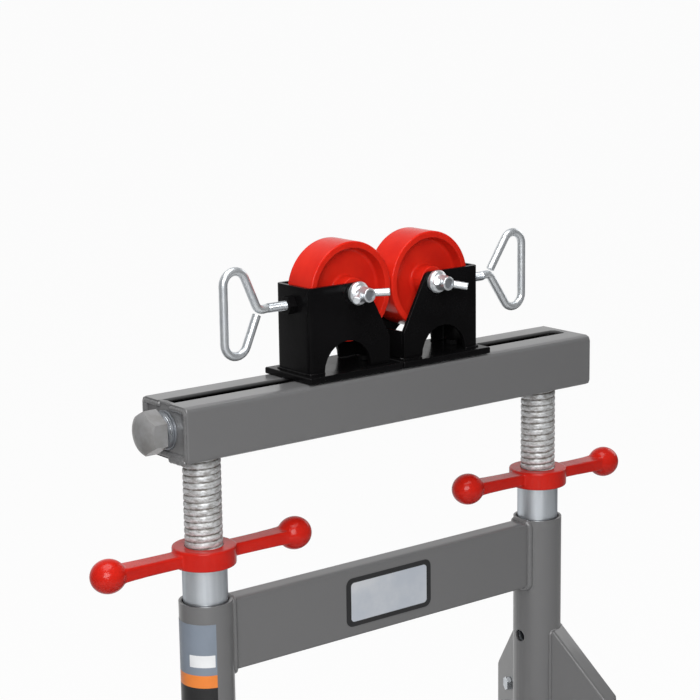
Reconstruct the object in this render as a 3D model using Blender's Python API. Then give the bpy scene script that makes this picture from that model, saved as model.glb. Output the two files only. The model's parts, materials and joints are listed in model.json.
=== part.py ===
"""Pipe jack stand: two screw posts carry a slotted beam with two roller carriages.

Metres, +Z up. X runs along the beam, the front faces -Y, and the origin is on the floor
under the middle of the beam. The stand is drawn with its rollers closed together and its
screws about 0.1 m up, and each moving piece hangs from an empty on its own axis.
"""
import math

import bmesh
import bpy
from mathutils import Matrix, Vector

# Clearances
SEAT_GAP = 0.0003
TURNING_CLEARANCE = 0.0004
CUT_OVERRUN = 0.004

# Posts
POST_SPACING = 0.503
POST_TOP_HEIGHT = 0.550
POST_LENGTH = 0.310
POST_DIAMETER = 0.0603
POST_WALL = 0.0039
PIN_HOLE_DROP = 0.1532
PIN_HOLE_PITCH = 0.100
PIN_HOLE_DIAMETER = 0.0158

# Crossbar between the posts
CROSSBAR_HEIGHT = 0.0847
CROSSBAR_THICKNESS = 0.0272
CROSSBAR_WALL = 0.0030
CROSSBAR_CORNER = 0.0050
CROSSBAR_DROP = 0.0027

# Leg brackets, as distances out from the post axis and down from their own top
BRACKET_DROP = 0.1455
BRACKET_REACH = 0.1030
BRACKET_SLOPE_DROP = 0.0815
BRACKET_HEIGHT = 0.1600
BRACKET_WIDTH = 0.0320
BRACKET_PLATE = 0.0032
BRACKET_BEND = 0.0040
BRACKET_CORNER = 0.0120
LEG_SPLAY_DEGREES = 67.0
LEG_BOLT_REACH = 0.0560
LEG_BOLT_DROP = 0.0975
LEG_BOLT_PITCH = 0.0450
LEG_BOLT_DIAMETER = 0.0098
LEG_BOLT_FLATS = 0.0160
LEG_BOLT_HEAD = 0.0064
LEG_BOLT_TAIL = 0.0045
LEG_NUT_HEIGHT = 0.0080

# Legs and feet
LEG_TILT_DEGREES = 27.0
LEG_DEPTH = 0.0508
LEG_WIDTH = 0.0250
LEG_WALL = 0.0026
LEG_CORNER = 0.0035
LEG_POST_CLEARANCE = 0.0030
LEG_WEB_CLEARANCE = 0.0015
FOOT_LENGTH = 0.0840
FOOT_WIDTH = 0.0600
FOOT_THICKNESS = 0.0060
FOOT_CORNER = 0.0120
FOOT_EDGE = 0.0010
ANCHOR_HOLE_DIAMETER = 0.0090
ANCHOR_HOLE_INSET = 0.0110

# Inner tubes and the pins that they stand on
INNER_TUBE_DIAMETER = 0.0504
INNER_TUBE_WALL = 0.0032
INNER_TUBE_PROJECTION = 0.0410
PIN_DIAMETER = 0.0142
PIN_OVERHANG = 0.0080
PIN_BEND = 0.0110
PIN_GRIP = 0.0480

# Spin handles
HUB_DIAMETER = 0.0720
HUB_HEIGHT = 0.0220
HUB_EDGE = 0.0016
ARM_SPAN = 0.2405
ARM_WIDTH = 0.0240
ARM_HEIGHT = 0.0145
ARM_CORNER = 0.0030
BALL_DIAMETER = 0.0380
BALL_LENGTH = 0.0412
LEFT_HANDLE_DEGREES = -2.1
RIGHT_HANDLE_DEGREES = 0.9

# Jack tubes, whose rolled thread is drawn at its outer diameter
JACK_TUBE_DIAMETER = 0.0427
JACK_TUBE_WALL = 0.0054
JACK_TUBE_LENGTH = 0.3050
LIFT_AT_REST = 0.1055

# Beam
BEAM_LENGTH = 0.5948
BEAM_WIDTH = 0.0889
BEAM_HEIGHT = 0.0625
BEAM_WALL = 0.0050
BEAM_CORNER = 0.0065
SLOT_WIDTH = 0.0230
SLOT_END_MARGIN = 0.0094
SLOT_CORNER = 0.0055
END_PLATE_THICKNESS = 0.0060
END_PLATE_INSET = 0.0025
END_TONGUE_DROP = 0.0010
END_TONGUE_SIDE = 0.0030

# Lead screw
SCREW_DIAMETER = 0.0250
SCREW_TAIL = 0.0040
SCREW_HEAD_FLATS = 0.0413
SCREW_HEAD_LENGTH = 0.0190
SCREW_HEAD_CHAMFER = 0.0028
THRUST_WASHER_DIAMETER = 0.0440
THRUST_WASHER_THICKNESS = 0.0022
COLLAR_DIAMETER = 0.0380
COLLAR_LENGTH = 0.0110

# Carriages, as distances out from the middle of the beam and up from its top
CARRIAGE_GAP = 0.0013
BASE_LENGTH = 0.1325
BASE_WIDTH = 0.0872
BASE_THICKNESS = 0.0074
BASE_EDGE = 0.0010
BASE_BOLT_SPACING = 0.0890
BASE_BOLT_DIAMETER = 0.0080
BASE_BOLT_FLATS = 0.0130
BASE_BOLT_HEAD = 0.0055
BASE_BOLT_LENGTH = 0.0150
SLIDE_NUT_LENGTH = 0.1040
SLIDE_NUT_SIDE_CLEARANCE = 0.0012
SLIDE_NUT_BOTTOM_CLEARANCE = 0.0030
SLIDE_NUT_CHAMFER = 0.0040

# Roller forks
FORK_WIDTH = 0.0629
FORK_PLATE = 0.0050
FORK_BEND = 0.0065
FORK_INNER_BEND = 0.0015
FORK_TOP = 0.1055
FORK_SETBACK = 0.0086
FORK_INNER_MARGIN = 0.0100
FORK_SLOPE_FOOT = 0.0392
FORK_SLOPE_RUN = 0.0350
FORK_TOP_CORNER = 0.0100
FORK_FOOT_CORNER = 0.0100
ARCH_RADIUS = 0.0330
ARCH_REACH = 0.0710

# Rollers and their axles
AXLE_REACH = 0.0579
AXLE_HEIGHT = 0.0939
WHEEL_DIAMETER = 0.1143
WHEEL_WIDTH = 0.0449
WHEEL_EDGE = 0.0020
RIM_DEPTH = 0.0076
RIM_DRAFT = 0.0020
WEB_RECESS = 0.0145
WHEEL_HUB_DIAMETER = 0.0330
BUSH_DIAMETER = 0.0200
AXLE_DIAMETER = 0.0127
AXLE_HEAD_FLATS = 0.0190
AXLE_HEAD_HEIGHT = 0.0075
AXLE_THREAD_DIAMETER = 0.0096
AXLE_THREAD_LENGTH = 0.0170

# Wing nuts and their washers
WING_WASHER_DIAMETER = 0.0250
WING_WASHER_THICKNESS = 0.0024
WING_BOSS_BASE = 0.0190
WING_BOSS_END = 0.0132
WING_BOSS_LENGTH = 0.0220
WING_ROD_DIAMETER = 0.0086
WING_ROOT_REACH = 0.0020
WING_ROOT_HEIGHT = 0.0060
WING_TIP_REACH = 0.0240
WING_TIP_HEIGHT = 0.0270
LEFT_WING_DEGREES = 5.0
RIGHT_WING_DEGREES = -13.0

# Wheel brakes: a looped screw through a nut on the fork, and the pad that it pushes
BRAKE_HEIGHT = 0.0845
BRAKE_THREAD_DIAMETER = 0.0108
BRAKE_WIRE_DIAMETER = 0.0094
BRAKE_THREAD_END = 0.0340
BRAKE_KINK_REACH = 0.0455
BRAKE_LOOP_REACH = 0.0944
BRAKE_LOOP_HALF_HEIGHT = 0.0464
BRAKE_LOOP_CORNER = 0.0150
BRAKE_KINK_BEND = 0.0120
BRAKE_TIP_DROP = 0.0042
BRAKE_NUT_FLATS = 0.0190
BRAKE_NUT_LENGTH = 0.0095
BRAKE_HOLE_DIAMETER = 0.0120
PAD_DIAMETER = 0.0170
PAD_THICKNESS = 0.0026
PAD_PLAY = 0.0011
PAD_SOCKET_DEPTH = 0.0012
PAD_SOCKET_WALL = 0.0004

# Facets
LARGE_SIDES = 32
WHEEL_SIDES = 32
HEXAGON_SIDES = 12
MEDIUM_SIDES = 16
SMALL_SIDES = 10
CORNER_STEPS = 2
ARC_STEPS = 4
ARCH_STEPS = 12
BALL_SEGMENTS = 12
BALL_RINGS = 7
WIRE_RESOLUTION = 2
SMOOTH_DEGREES = 35.0

TURN = 2.0 * math.pi
ALONG_X = Matrix.Rotation(math.radians(90.0), 4, "Y")
ALONG_Y = Matrix.Rotation(math.radians(-90.0), 4, "X")
SIDES = (("left", -1.0), ("right", 1.0))
FRONT_AND_BACK = (("front", -1.0), ("back", 1.0))

# Heights and radii that several pieces share
POST_RADIUS = POST_DIAMETER / 2
POST_BORE = POST_DIAMETER - 2 * POST_WALL
INNER_TUBE_TOP = POST_TOP_HEIGHT + INNER_TUBE_PROJECTION
HUB_BOTTOM = INNER_TUBE_TOP + SEAT_GAP
HUB_TOP = HUB_BOTTOM + HUB_HEIGHT
BEAM_BOTTOM = HUB_TOP + LIFT_AT_REST
BEAM_TOP = BEAM_BOTTOM + BEAM_HEIGHT
LOW_PIN_HEIGHT = POST_TOP_HEIGHT - PIN_HOLE_DROP - PIN_HOLE_PITCH
BRACKET_TOP_HEIGHT = POST_TOP_HEIGHT - BRACKET_DROP
END_PLATE_OUTER = BEAM_LENGTH / 2 - END_PLATE_INSET
END_PLATE_INNER = END_PLATE_OUTER - END_PLATE_THICKNESS
BASE_INNER = CARRIAGE_GAP / 2
BASE_OUTER = BASE_INNER + BASE_LENGTH
BASE_TOP = SEAT_GAP + BASE_THICKNESS
FORK_BOTTOM = BASE_TOP + SEAT_GAP
FORK_OUTER = BASE_OUTER - FORK_SETBACK
FORK_END_INNER = FORK_OUTER - FORK_PLATE
FORK_INNER = BASE_INNER + FORK_INNER_MARGIN


def clear_scene():
    for thing in list(bpy.data.objects):
        bpy.data.objects.remove(thing, do_unlink=True)


def make_material(name, colour, roughness, metallic):
    material = bpy.data.materials.new(name)
    material.use_nodes = True
    shader = material.node_tree.nodes["Principled BSDF"]
    shader.inputs["Base Color"].default_value = (*colour, 1.0)
    shader.inputs["Roughness"].default_value = roughness
    shader.inputs["Metallic"].default_value = metallic
    material.diffuse_color = (*colour, 1.0)
    return material


def grey_paint():
    return make_material("grey_paint", (0.15, 0.15, 0.15), 0.45, 0.0)


def black_paint():
    return make_material("black_paint", (0.012, 0.012, 0.013), 0.35, 0.0)


def red_paint():
    return make_material("red_paint", (0.62, 0.025, 0.015), 0.32, 0.0)


def zinc_plate():
    return make_material("zinc_plate", (0.55, 0.57, 0.60), 0.38, 0.9)


def dark_steel():
    return make_material("dark_steel", (0.10, 0.10, 0.11), 0.50, 0.8)


def bronze():
    return make_material("bronze", (0.45, 0.28, 0.12), 0.45, 0.9)


def ring(radius, height, sides, flats=0):
    """One ring of points about Z. With flats, the radius is half the width across them."""
    points = []
    for step in range(sides):
        angle = step * TURN / sides
        reach = radius
        if flats:
            sector = TURN / flats
            reach = radius / math.cos((angle + sector / 2) % sector - sector / 2)
        points.append(Vector((reach * math.cos(angle), reach * math.sin(angle), height)))
    return points


def add_loft(bm, rings, closed=False, matrix=None):
    """Skin a row of equal rings. A closed row makes a hoop, an open one gets end caps."""
    loops = []
    for points in rings:
        loops.append([bm.verts.new(point) for point in points])
    pairs = list(zip(loops, loops[1:]))
    if closed:
        pairs.append((loops[-1], loops[0]))
    for low, high in pairs:
        for index in range(len(low)):
            after = (index + 1) % len(low)
            bm.faces.new((low[index], low[after], high[after], high[index]))
    if not closed:
        bm.faces.new(loops[0])
        bm.faces.new(loops[-1])
    if matrix is not None:
        corners = [corner for loop in loops for corner in loop]
        bmesh.ops.transform(bm, matrix=matrix, verts=corners)


def add_rod(bm, radius, low, high, sides, matrix=None):
    add_loft(bm, [ring(radius, low, sides), ring(radius, high, sides)], matrix=matrix)


def add_tube(bm, outer, inner, low, high, sides, matrix=None):
    rings = [ring(outer, low, sides), ring(outer, high, sides)]
    rings += [ring(inner, high, sides), ring(inner, low, sides)]
    add_loft(bm, rings, closed=True, matrix=matrix)


def add_prism(bm, outline, low, high, matrix=None):
    """Extrude a flat outline, given as points in XY, from low to high along Z."""
    corners = [bm.verts.new((point.x, point.y, low)) for point in outline]
    face = bm.faces.new(corners)
    grown = bmesh.ops.extrude_face_region(bm, geom=[face])["geom"]
    lifted = [item for item in grown if isinstance(item, bmesh.types.BMVert)]
    bmesh.ops.translate(bm, vec=(0, 0, high - low), verts=lifted)
    if matrix is not None:
        bmesh.ops.transform(bm, matrix=matrix, verts=corners + lifted)


def add_section_tube(bm, outer, inner, low, high, matrix=None):
    """Extrude the ring between two outlines that have the same number of points."""
    rings = []
    for outline, height in ((outer, low), (outer, high), (inner, high), (inner, low)):
        rings.append([Vector((point.x, point.y, height)) for point in outline])
    add_loft(bm, rings, closed=True, matrix=matrix)


def fillet(before, corner, after, radius, steps):
    """Points of an arc that rounds one corner of a path."""
    back = (before - corner).normalized()
    ahead = (after - corner).normalized()
    half = back.angle(ahead) / 2
    centre = corner + (back + ahead).normalized() * (radius / math.sin(half))
    start = corner + back * (radius / math.tan(half)) - centre
    end = corner + ahead * (radius / math.tan(half)) - centre
    sweep = start.angle(end)
    points = []
    for step in range(steps + 1):
        part = step / steps
        mixed = start * math.sin((1 - part) * sweep) + end * math.sin(part * sweep)
        points.append(centre + mixed / math.sin(sweep))
    return points


def rounded_outline(corners, steps):
    """A closed outline from (x, y, radius) corners; a radius of 0 keeps the corner sharp."""
    spots = [Vector((x, y, 0)) for x, y, radius in corners]
    points = []
    for index, (x, y, radius) in enumerate(corners):
        before = spots[index - 1]
        after = spots[(index + 1) % len(spots)]
        if radius > 0:
            points += fillet(before, spots[index], after, radius, steps)
        else:
            points.append(spots[index])
    return points


def rounded_path(corners, steps):
    """An open path in XZ from (x, z, radius) corners."""
    spots = [Vector((x, 0, z)) for x, z, radius in corners]
    points = [spots[0]]
    for index in range(1, len(spots) - 1):
        radius = corners[index][2]
        points += fillet(spots[index - 1], spots[index], spots[index + 1], radius, steps)
    points.append(spots[-1])
    return points


def rounded_rectangle(width, height, radius, steps=CORNER_STEPS):
    x = width / 2
    y = height / 2
    return rounded_outline([(-x, -y, radius), (x, -y, radius), (x, y, radius), (-x, y, radius)], steps)


def new_object(name, bm):
    bmesh.ops.recalc_face_normals(bm, faces=bm.faces)
    mesh = bpy.data.meshes.new(name)
    bm.to_mesh(mesh)
    bm.free()
    mesh.shade_smooth()
    mesh.set_sharp_from_angle(angle=math.radians(SMOOTH_DEGREES))
    thing = bpy.data.objects.new(name, mesh)
    bpy.context.scene.collection.objects.link(thing)
    return thing


def make_piece(name, bm, material, parent, location=(0, 0, 0), rotation=(0, 0, 0)):
    piece = new_object(name, bm)
    piece.data.materials.append(material)
    piece.parent = parent
    piece.location = location
    piece.rotation_euler = rotation
    return piece


def make_pivot(name, parent, location=(0, 0, 0), turn=0.0):
    pivot = bpy.data.objects.new(name, None)
    bpy.context.scene.collection.objects.link(pivot)
    pivot.parent = parent
    pivot.location = location
    pivot.rotation_euler = (0, 0, turn)
    return pivot


def combine(piece, label, bm, operation="DIFFERENCE"):
    """Cut, join or intersect a piece with a tool shape given in the piece's own frame."""
    tool = new_object(f"{piece.name}_{label}", bm)
    tool.hide_render = True
    tool.display_type = "WIRE"
    tool.parent = piece
    modifier = piece.modifiers.new(label, "BOOLEAN")
    modifier.operation = operation
    modifier.solver = "EXACT"
    modifier.object = tool


def add_bevel(piece, width, segments, degrees):
    modifier = piece.modifiers.new("edges", "BEVEL")
    modifier.width = width
    modifier.segments = segments
    modifier.limit_method = "ANGLE"
    modifier.angle_limit = math.radians(degrees)


def even_shading():
    """Let the large flat faces of each cut piece set its shading up to its bends."""
    for piece in bpy.context.scene.objects:
        if piece.type == "MESH" and piece.modifiers:
            modifier = piece.modifiers.new("shading", "WEIGHTED_NORMAL")
            modifier.keep_sharp = True


def make_swept_rod(name, points, shares, radius, material, parent, location, rotation):
    """A round rod along a path; each point's share thickens or thins it."""
    curve = bpy.data.curves.new(name, "CURVE")
    curve.dimensions = "3D"
    curve.bevel_depth = radius
    curve.bevel_resolution = WIRE_RESOLUTION
    curve.use_fill_caps = True
    spline = curve.splines.new("POLY")
    spline.points.add(len(points) - 1)
    for spot, point, share in zip(spline.points, points, shares):
        spot.co = (*point, 1.0)
        spot.radius = share
    rod = bpy.data.objects.new(name, curve)
    bpy.context.scene.collection.objects.link(rod)
    curve.materials.append(material)
    rod.parent = parent
    rod.location = location
    rod.rotation_euler = rotation
    return rod


def make_post(name, x, material, parent):
    bm = bmesh.new()
    add_tube(bm, POST_RADIUS, POST_BORE / 2, -POST_LENGTH, 0, LARGE_SIDES)
    post = make_piece(name, bm, material, parent, (x, 0, POST_TOP_HEIGHT))
    holes = bmesh.new()
    reach = POST_RADIUS + CUT_OVERRUN
    for level in (PIN_HOLE_DROP, PIN_HOLE_DROP + PIN_HOLE_PITCH):
        place = Matrix.Translation((0, 0, -level)) @ ALONG_X
        add_rod(holes, PIN_HOLE_DIAMETER / 2, -reach, reach, SMALL_SIDES, place)
    combine(post, "pin_holes", holes)


def make_crossbar(material, parent):
    """A flat tube whose ends are coped to the round posts."""
    bm = bmesh.new()
    outer = rounded_rectangle(CROSSBAR_HEIGHT, CROSSBAR_THICKNESS, CROSSBAR_CORNER)
    inner_height = CROSSBAR_HEIGHT - 2 * CROSSBAR_WALL
    inner_thickness = CROSSBAR_THICKNESS - 2 * CROSSBAR_WALL
    inner = rounded_rectangle(inner_height, inner_thickness, CROSSBAR_CORNER - CROSSBAR_WALL)
    half = POST_SPACING / 2
    add_section_tube(bm, outer, inner, -half, half, ALONG_X)
    centre = POST_TOP_HEIGHT - CROSSBAR_DROP - CROSSBAR_HEIGHT / 2
    bar = make_piece("crossbar", bm, material, parent, (0, 0, centre))
    cope = bmesh.new()
    reach = CROSSBAR_HEIGHT / 2 + CUT_OVERRUN
    for end in (-half, half):
        place = Matrix.Translation((end, 0, 0))
        add_rod(cope, POST_RADIUS + SEAT_GAP, -reach, reach, LARGE_SIDES, place)
    combine(bar, "cope", cope)


def bracket_slope():
    """The web's run and drop, from the post's surface to its outer end."""
    run = BRACKET_REACH - POST_RADIUS
    return run, BRACKET_SLOPE_DROP


def bracket_outline(shrink):
    """Side view of a leg bracket, out along X and up along Y, pulled in under its web."""
    run, drop = bracket_slope()
    lift = shrink * math.hypot(run, drop) / run
    reach = BRACKET_REACH + (CUT_OVERRUN if shrink > 0 else 0)
    low = -BRACKET_HEIGHT - (CUT_OVERRUN if shrink > 0 else 0)
    inner_top = -lift + POST_RADIUS * drop / run
    outer_top = -lift - (reach - POST_RADIUS) * drop / run
    corner = 0 if shrink > 0 else BRACKET_CORNER
    return rounded_outline([(0, inner_top, 0), (0, low, 0), (reach, low, corner), (reach, outer_top, 0)],
                           CORNER_STEPS)


def across(width):
    """Places a prism drawn in XY upright in XZ, centred across Y."""
    return Matrix.Translation((0, width / 2, 0)) @ Matrix.Rotation(math.radians(90.0), 4, "X")


def make_leg_bracket(name, pivot, material):
    """A folded channel with its web on top, welded to the post and open below."""
    bm = bmesh.new()
    add_prism(bm, bracket_outline(0), 0, BRACKET_WIDTH, across(BRACKET_WIDTH))
    bracket = make_piece(name, bm, material, pivot)
    fold_edges(bracket)
    hollow_width = BRACKET_WIDTH - 2 * BRACKET_PLATE
    hollow = bmesh.new()
    add_prism(hollow, bracket_outline(BRACKET_PLATE), 0, hollow_width, across(hollow_width))
    combine(bracket, "hollow", hollow)
    post_room = bmesh.new()
    top = POST_RADIUS + BRACKET_HEIGHT
    add_rod(post_room, POST_RADIUS + SEAT_GAP, -top, top, LARGE_SIDES)
    combine(bracket, "post_room", post_room)
    holes = bmesh.new()
    half = BRACKET_WIDTH / 2 + CUT_OVERRUN
    for spot in leg_bolt_places():
        place = Matrix.Translation(spot) @ ALONG_Y
        add_rod(holes, LEG_BOLT_DIAMETER / 2 + TURNING_CLEARANCE, -half, half, SMALL_SIDES, place)
    combine(bracket, "bolt_holes", holes)


def fold_edges(bracket):
    """Round the two long edges of the web, where the plate is folded."""
    mesh = bracket.data
    weights = mesh.attributes.new("bevel_weight_edge", "FLOAT", "EDGE")
    for edge in mesh.edges:
        first, second = (mesh.vertices[index].co for index in edge.vertices)
        rise = abs(first.z - second.z)
        run = abs(first.x - second.x)
        on_top = max(first.z, second.z) > 0
        if on_top and rise > 0 and run > POST_RADIUS:
            weights.data[edge.index].value = 1.0
    modifier = bracket.modifiers.new("folds", "BEVEL")
    modifier.limit_method = "WEIGHT"
    modifier.width = BRACKET_BEND
    modifier.segments = CORNER_STEPS


def leg_frame():
    """Turns the leg's own axis, its local Z, to the tilt, with its upper bolt at 0."""
    tilt = Matrix.Rotation(math.radians(180.0 - LEG_TILT_DEGREES), 4, "Y")
    return Matrix.Translation((LEG_BOLT_REACH, 0, -LEG_BOLT_DROP)) @ tilt


def leg_bolt_places():
    """The upper and the lower bolt, both on the leg's middle line."""
    frame = leg_frame()
    return frame @ Vector((0, 0, 0)), frame @ Vector((0, 0, LEG_BOLT_PITCH))


def leg_lower_end():
    """Height of the leg's lower end, half way into its foot, from the top of its bracket."""
    return FOOT_THICKNESS / 2 - BRACKET_TOP_HEIGHT


def foot_reach():
    drop = BRACKET_TOP_HEIGHT - FOOT_THICKNESS - LEG_BOLT_DROP
    return LEG_BOLT_REACH + drop * math.tan(math.radians(LEG_TILT_DEGREES))


def make_leg(name, pivot, material):
    """A rectangular tube, trimmed under the web and at the post, welded to a flat foot."""
    bm = bmesh.new()
    outer = rounded_rectangle(LEG_DEPTH, LEG_WIDTH, LEG_CORNER)
    inner = rounded_rectangle(LEG_DEPTH - 2 * LEG_WALL, LEG_WIDTH - 2 * LEG_WALL, LEG_CORNER - LEG_WALL)
    length = -leg_lower_end() / math.cos(math.radians(LEG_TILT_DEGREES))
    add_section_tube(bm, outer, inner, -BRACKET_HEIGHT, length, leg_frame())
    leg = make_piece(name, bm, material, pivot)
    keep = bmesh.new()
    run, drop = bracket_slope()
    lift = (BRACKET_PLATE + LEG_WEB_CLEARANCE) * math.hypot(run, drop) / run
    near = POST_RADIUS + LEG_POST_CLEARANCE
    far = 2 * foot_reach()
    near_top = -lift - (near - POST_RADIUS) * drop / run
    far_top = -lift - (BRACKET_REACH - POST_RADIUS) * drop / run
    corners = [(near, near_top, 0), (near, leg_lower_end(), 0), (far, leg_lower_end(), 0)]
    corners += [(far, far_top, 0), (BRACKET_REACH, far_top, 0)]
    room = rounded_outline(corners, CORNER_STEPS)
    width = LEG_WIDTH + 2 * CUT_OVERRUN
    add_prism(keep, room, 0, width, across(width))
    combine(leg, "trim", keep, "INTERSECT")
    holes = bmesh.new()
    half = LEG_WIDTH / 2 + CUT_OVERRUN
    for spot in leg_bolt_places():
        place = Matrix.Translation(spot) @ ALONG_Y
        add_rod(holes, LEG_BOLT_DIAMETER / 2 + TURNING_CLEARANCE, -half, half, SMALL_SIDES, place)
    combine(leg, "bolt_holes", holes)
    add_foot(leg)


def add_foot(leg):
    """Join a flat plate to the leg's lower end, with a hole at each end for an anchor."""
    foot = bmesh.new()
    ground = Matrix.Translation((foot_reach(), 0, -BRACKET_TOP_HEIGHT))
    outline = rounded_rectangle(FOOT_LENGTH, FOOT_WIDTH, FOOT_CORNER)
    edge = rounded_rectangle(FOOT_LENGTH - 2 * FOOT_EDGE, FOOT_WIDTH - 2 * FOOT_EDGE,
                             FOOT_CORNER - FOOT_EDGE)
    levels = [(outline, 0), (outline, FOOT_THICKNESS - FOOT_EDGE), (edge, FOOT_THICKNESS)]
    rings = [[Vector((point.x, point.y, height)) for point in level] for level, height in levels]
    add_loft(foot, rings, matrix=ground)
    combine(leg, "foot", foot, "UNION")
    holes = bmesh.new()
    top = FOOT_THICKNESS + CUT_OVERRUN
    inset = FOOT_LENGTH / 2 - ANCHOR_HOLE_INSET
    for spot in (-inset, inset):
        place = ground @ Matrix.Translation((spot, 0, 0))
        add_rod(holes, ANCHOR_HOLE_DIAMETER / 2, -CUT_OVERRUN, top, SMALL_SIDES, place)
    combine(leg, "anchor_holes", holes)


def bolt_rings(diameter, flats, head, length):
    """A hexagon bolt: its head stands on z = 0 and its shank runs down from there."""
    sides = HEXAGON_SIDES
    rings = [ring(flats / 2, head, sides, 6), ring(flats / 2, 0, sides, 6)]
    rings += [ring(diameter / 2, 0, sides), ring(diameter / 2, -length, sides)]
    return rings


def add_nut(bm, bore, flats, low, high, matrix):
    sides = HEXAGON_SIDES
    rings = [ring(flats / 2, low, sides, 6), ring(flats / 2, high, sides, 6)]
    rings += [ring(bore / 2, high, sides), ring(bore / 2, low, sides)]
    add_loft(bm, rings, closed=True, matrix=matrix)


def leg_places():
    """Name, post position and direction in plan of each of the four legs."""
    places = []
    for side_name, side in SIDES:
        for depth_name, depth in FRONT_AND_BACK:
            splay = math.radians(LEG_SPLAY_DEGREES)
            angle = depth * splay if side > 0 else math.pi - depth * splay
            places.append((f"{depth_name}_{side_name}", side, depth, angle))
    return places


def make_leg_bolt(name, spot, side, material, pivot):
    """A bolt through bracket and leg, its nut made up on it, with its head inward."""
    face = BRACKET_WIDTH / 2 + SEAT_GAP
    nut_face = -2 * face
    nut_end = nut_face - LEG_NUT_HEIGHT
    shank = LEG_BOLT_DIAMETER / 2
    flats = LEG_BOLT_FLATS / 2
    sides = HEXAGON_SIDES
    rings = bolt_rings(LEG_BOLT_DIAMETER, LEG_BOLT_FLATS, LEG_BOLT_HEAD, -nut_face)
    rings += [ring(flats, nut_face, sides, 6), ring(flats, nut_end, sides, 6)]
    rings += [ring(shank, nut_end, sides), ring(shank, nut_end - LEG_BOLT_TAIL, sides)]
    facing = ALONG_Y if side > 0 else ALONG_Y.inverted()
    bm = bmesh.new()
    place = Matrix.Translation(spot) @ facing @ Matrix.Translation((0, 0, face))
    add_loft(bm, rings, matrix=place)
    make_piece(name, bm, material, pivot)


def make_lower_frame(materials):
    frame = make_pivot("lower_frame", None)
    for label, side in SIDES:
        make_post(f"post_{label}", side * POST_SPACING / 2, materials["grey"], frame)
    make_crossbar(materials["grey"], frame)
    for label, side, depth, angle in leg_places():
        place = (side * POST_SPACING / 2, 0, BRACKET_TOP_HEIGHT)
        pivot = make_pivot(f"leg_mount_{label}", frame, place, angle)
        make_leg_bracket(f"leg_bracket_{label}", pivot, materials["grey"])
        make_leg(f"leg_{label}", pivot, materials["grey"])
        for level, spot in zip(("upper", "lower"), leg_bolt_places()):
            make_leg_bolt(f"leg_bolt_{label}_{level}", spot, side * depth, materials["zinc"], pivot)
    return frame


def make_inner_tube(name, x, material, parent):
    """A plain tube that slides in the post, stands on the height pin and is drilled for it."""
    bm = bmesh.new()
    outer = INNER_TUBE_DIAMETER / 2
    foot = LOW_PIN_HEIGHT + PIN_DIAMETER / 2 + SEAT_GAP
    add_tube(bm, outer, outer - INNER_TUBE_WALL, foot - INNER_TUBE_TOP, 0, LARGE_SIDES)
    tube = make_piece(name, bm, material, parent, (x, 0, INNER_TUBE_TOP))
    hole = bmesh.new()
    reach = outer + CUT_OVERRUN
    place = Matrix.Translation((0, 0, LOW_PIN_HEIGHT + PIN_HOLE_PITCH - INNER_TUBE_TOP)) @ ALONG_X
    add_rod(hole, PIN_HOLE_DIAMETER / 2, -reach, reach, SMALL_SIDES, place)
    combine(tube, "pin_hole", hole)


def make_height_pin(name, side, material, parent):
    """A bent rod through the post under the inner tube, drawn from outside."""
    inner_end = -POST_RADIUS - PIN_OVERHANG
    elbow = POST_RADIUS + PIN_OVERHANG + PIN_BEND
    corners = [(inner_end, 0, 0), (elbow, 0, PIN_BEND), (elbow, -PIN_GRIP, 0)]
    points = rounded_path(corners, ARC_STEPS)
    pivot = make_pivot(f"{name}_pivot", parent, (side * POST_SPACING / 2, 0, LOW_PIN_HEIGHT))
    turn = 0 if side > 0 else math.pi
    shares = [1.0] * len(points)
    radius = PIN_DIAMETER / 2
    make_swept_rod(name, points, shares, radius, material, pivot, (0, 0, 0), (0, 0, turn))


def make_spin_handle(name, x, degrees, material, parent):
    """A cast nut: a threaded ring with two arms that end in balls."""
    low = -HUB_HEIGHT / 2
    high = HUB_HEIGHT / 2
    radius = HUB_DIAMETER / 2
    bm = bmesh.new()
    rings = [ring(radius - HUB_EDGE, low, LARGE_SIDES), ring(radius, low + HUB_EDGE, LARGE_SIDES)]
    rings += [ring(radius, high - HUB_EDGE, LARGE_SIDES), ring(radius - HUB_EDGE, high, LARGE_SIDES)]
    add_loft(bm, rings)
    place = (x, 0, HUB_BOTTOM + HUB_HEIGHT / 2)
    handle = make_piece(name, bm, material, parent, place, (0, 0, math.radians(degrees)))
    arms = bmesh.new()
    section = rounded_rectangle(ARM_HEIGHT, ARM_WIDTH, ARM_CORNER)
    reach = ARM_SPAN / 2
    add_prism(arms, section, -reach, reach, ALONG_X)
    combine(handle, "arms", arms, "UNION")
    for label, side in SIDES:
        ball = bmesh.new()
        stretch = Matrix.Scale(BALL_LENGTH / BALL_DIAMETER, 4, (1, 0, 0))
        spot = Matrix.Translation((side * reach, 0, 0)) @ stretch @ ALONG_X
        bmesh.ops.create_uvsphere(ball, u_segments=BALL_SEGMENTS, v_segments=BALL_RINGS,
                                  radius=BALL_DIAMETER / 2, matrix=spot)
        combine(handle, f"{label}_ball", ball, "UNION")
    bore = bmesh.new()
    depth = high + CUT_OVERRUN
    add_rod(bore, JACK_TUBE_DIAMETER / 2 + TURNING_CLEARANCE, -depth, depth, LARGE_SIDES)
    combine(handle, "bore", bore)


def make_jack_tube(name, x, material, parent):
    bm = bmesh.new()
    outer = JACK_TUBE_DIAMETER / 2
    top = BEAM_BOTTOM - SEAT_GAP
    add_tube(bm, outer, outer - JACK_TUBE_WALL, -JACK_TUBE_LENGTH, 0, LARGE_SIDES)
    make_piece(name, bm, material, parent, (x, 0, top - BEAM_TOP))


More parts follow.
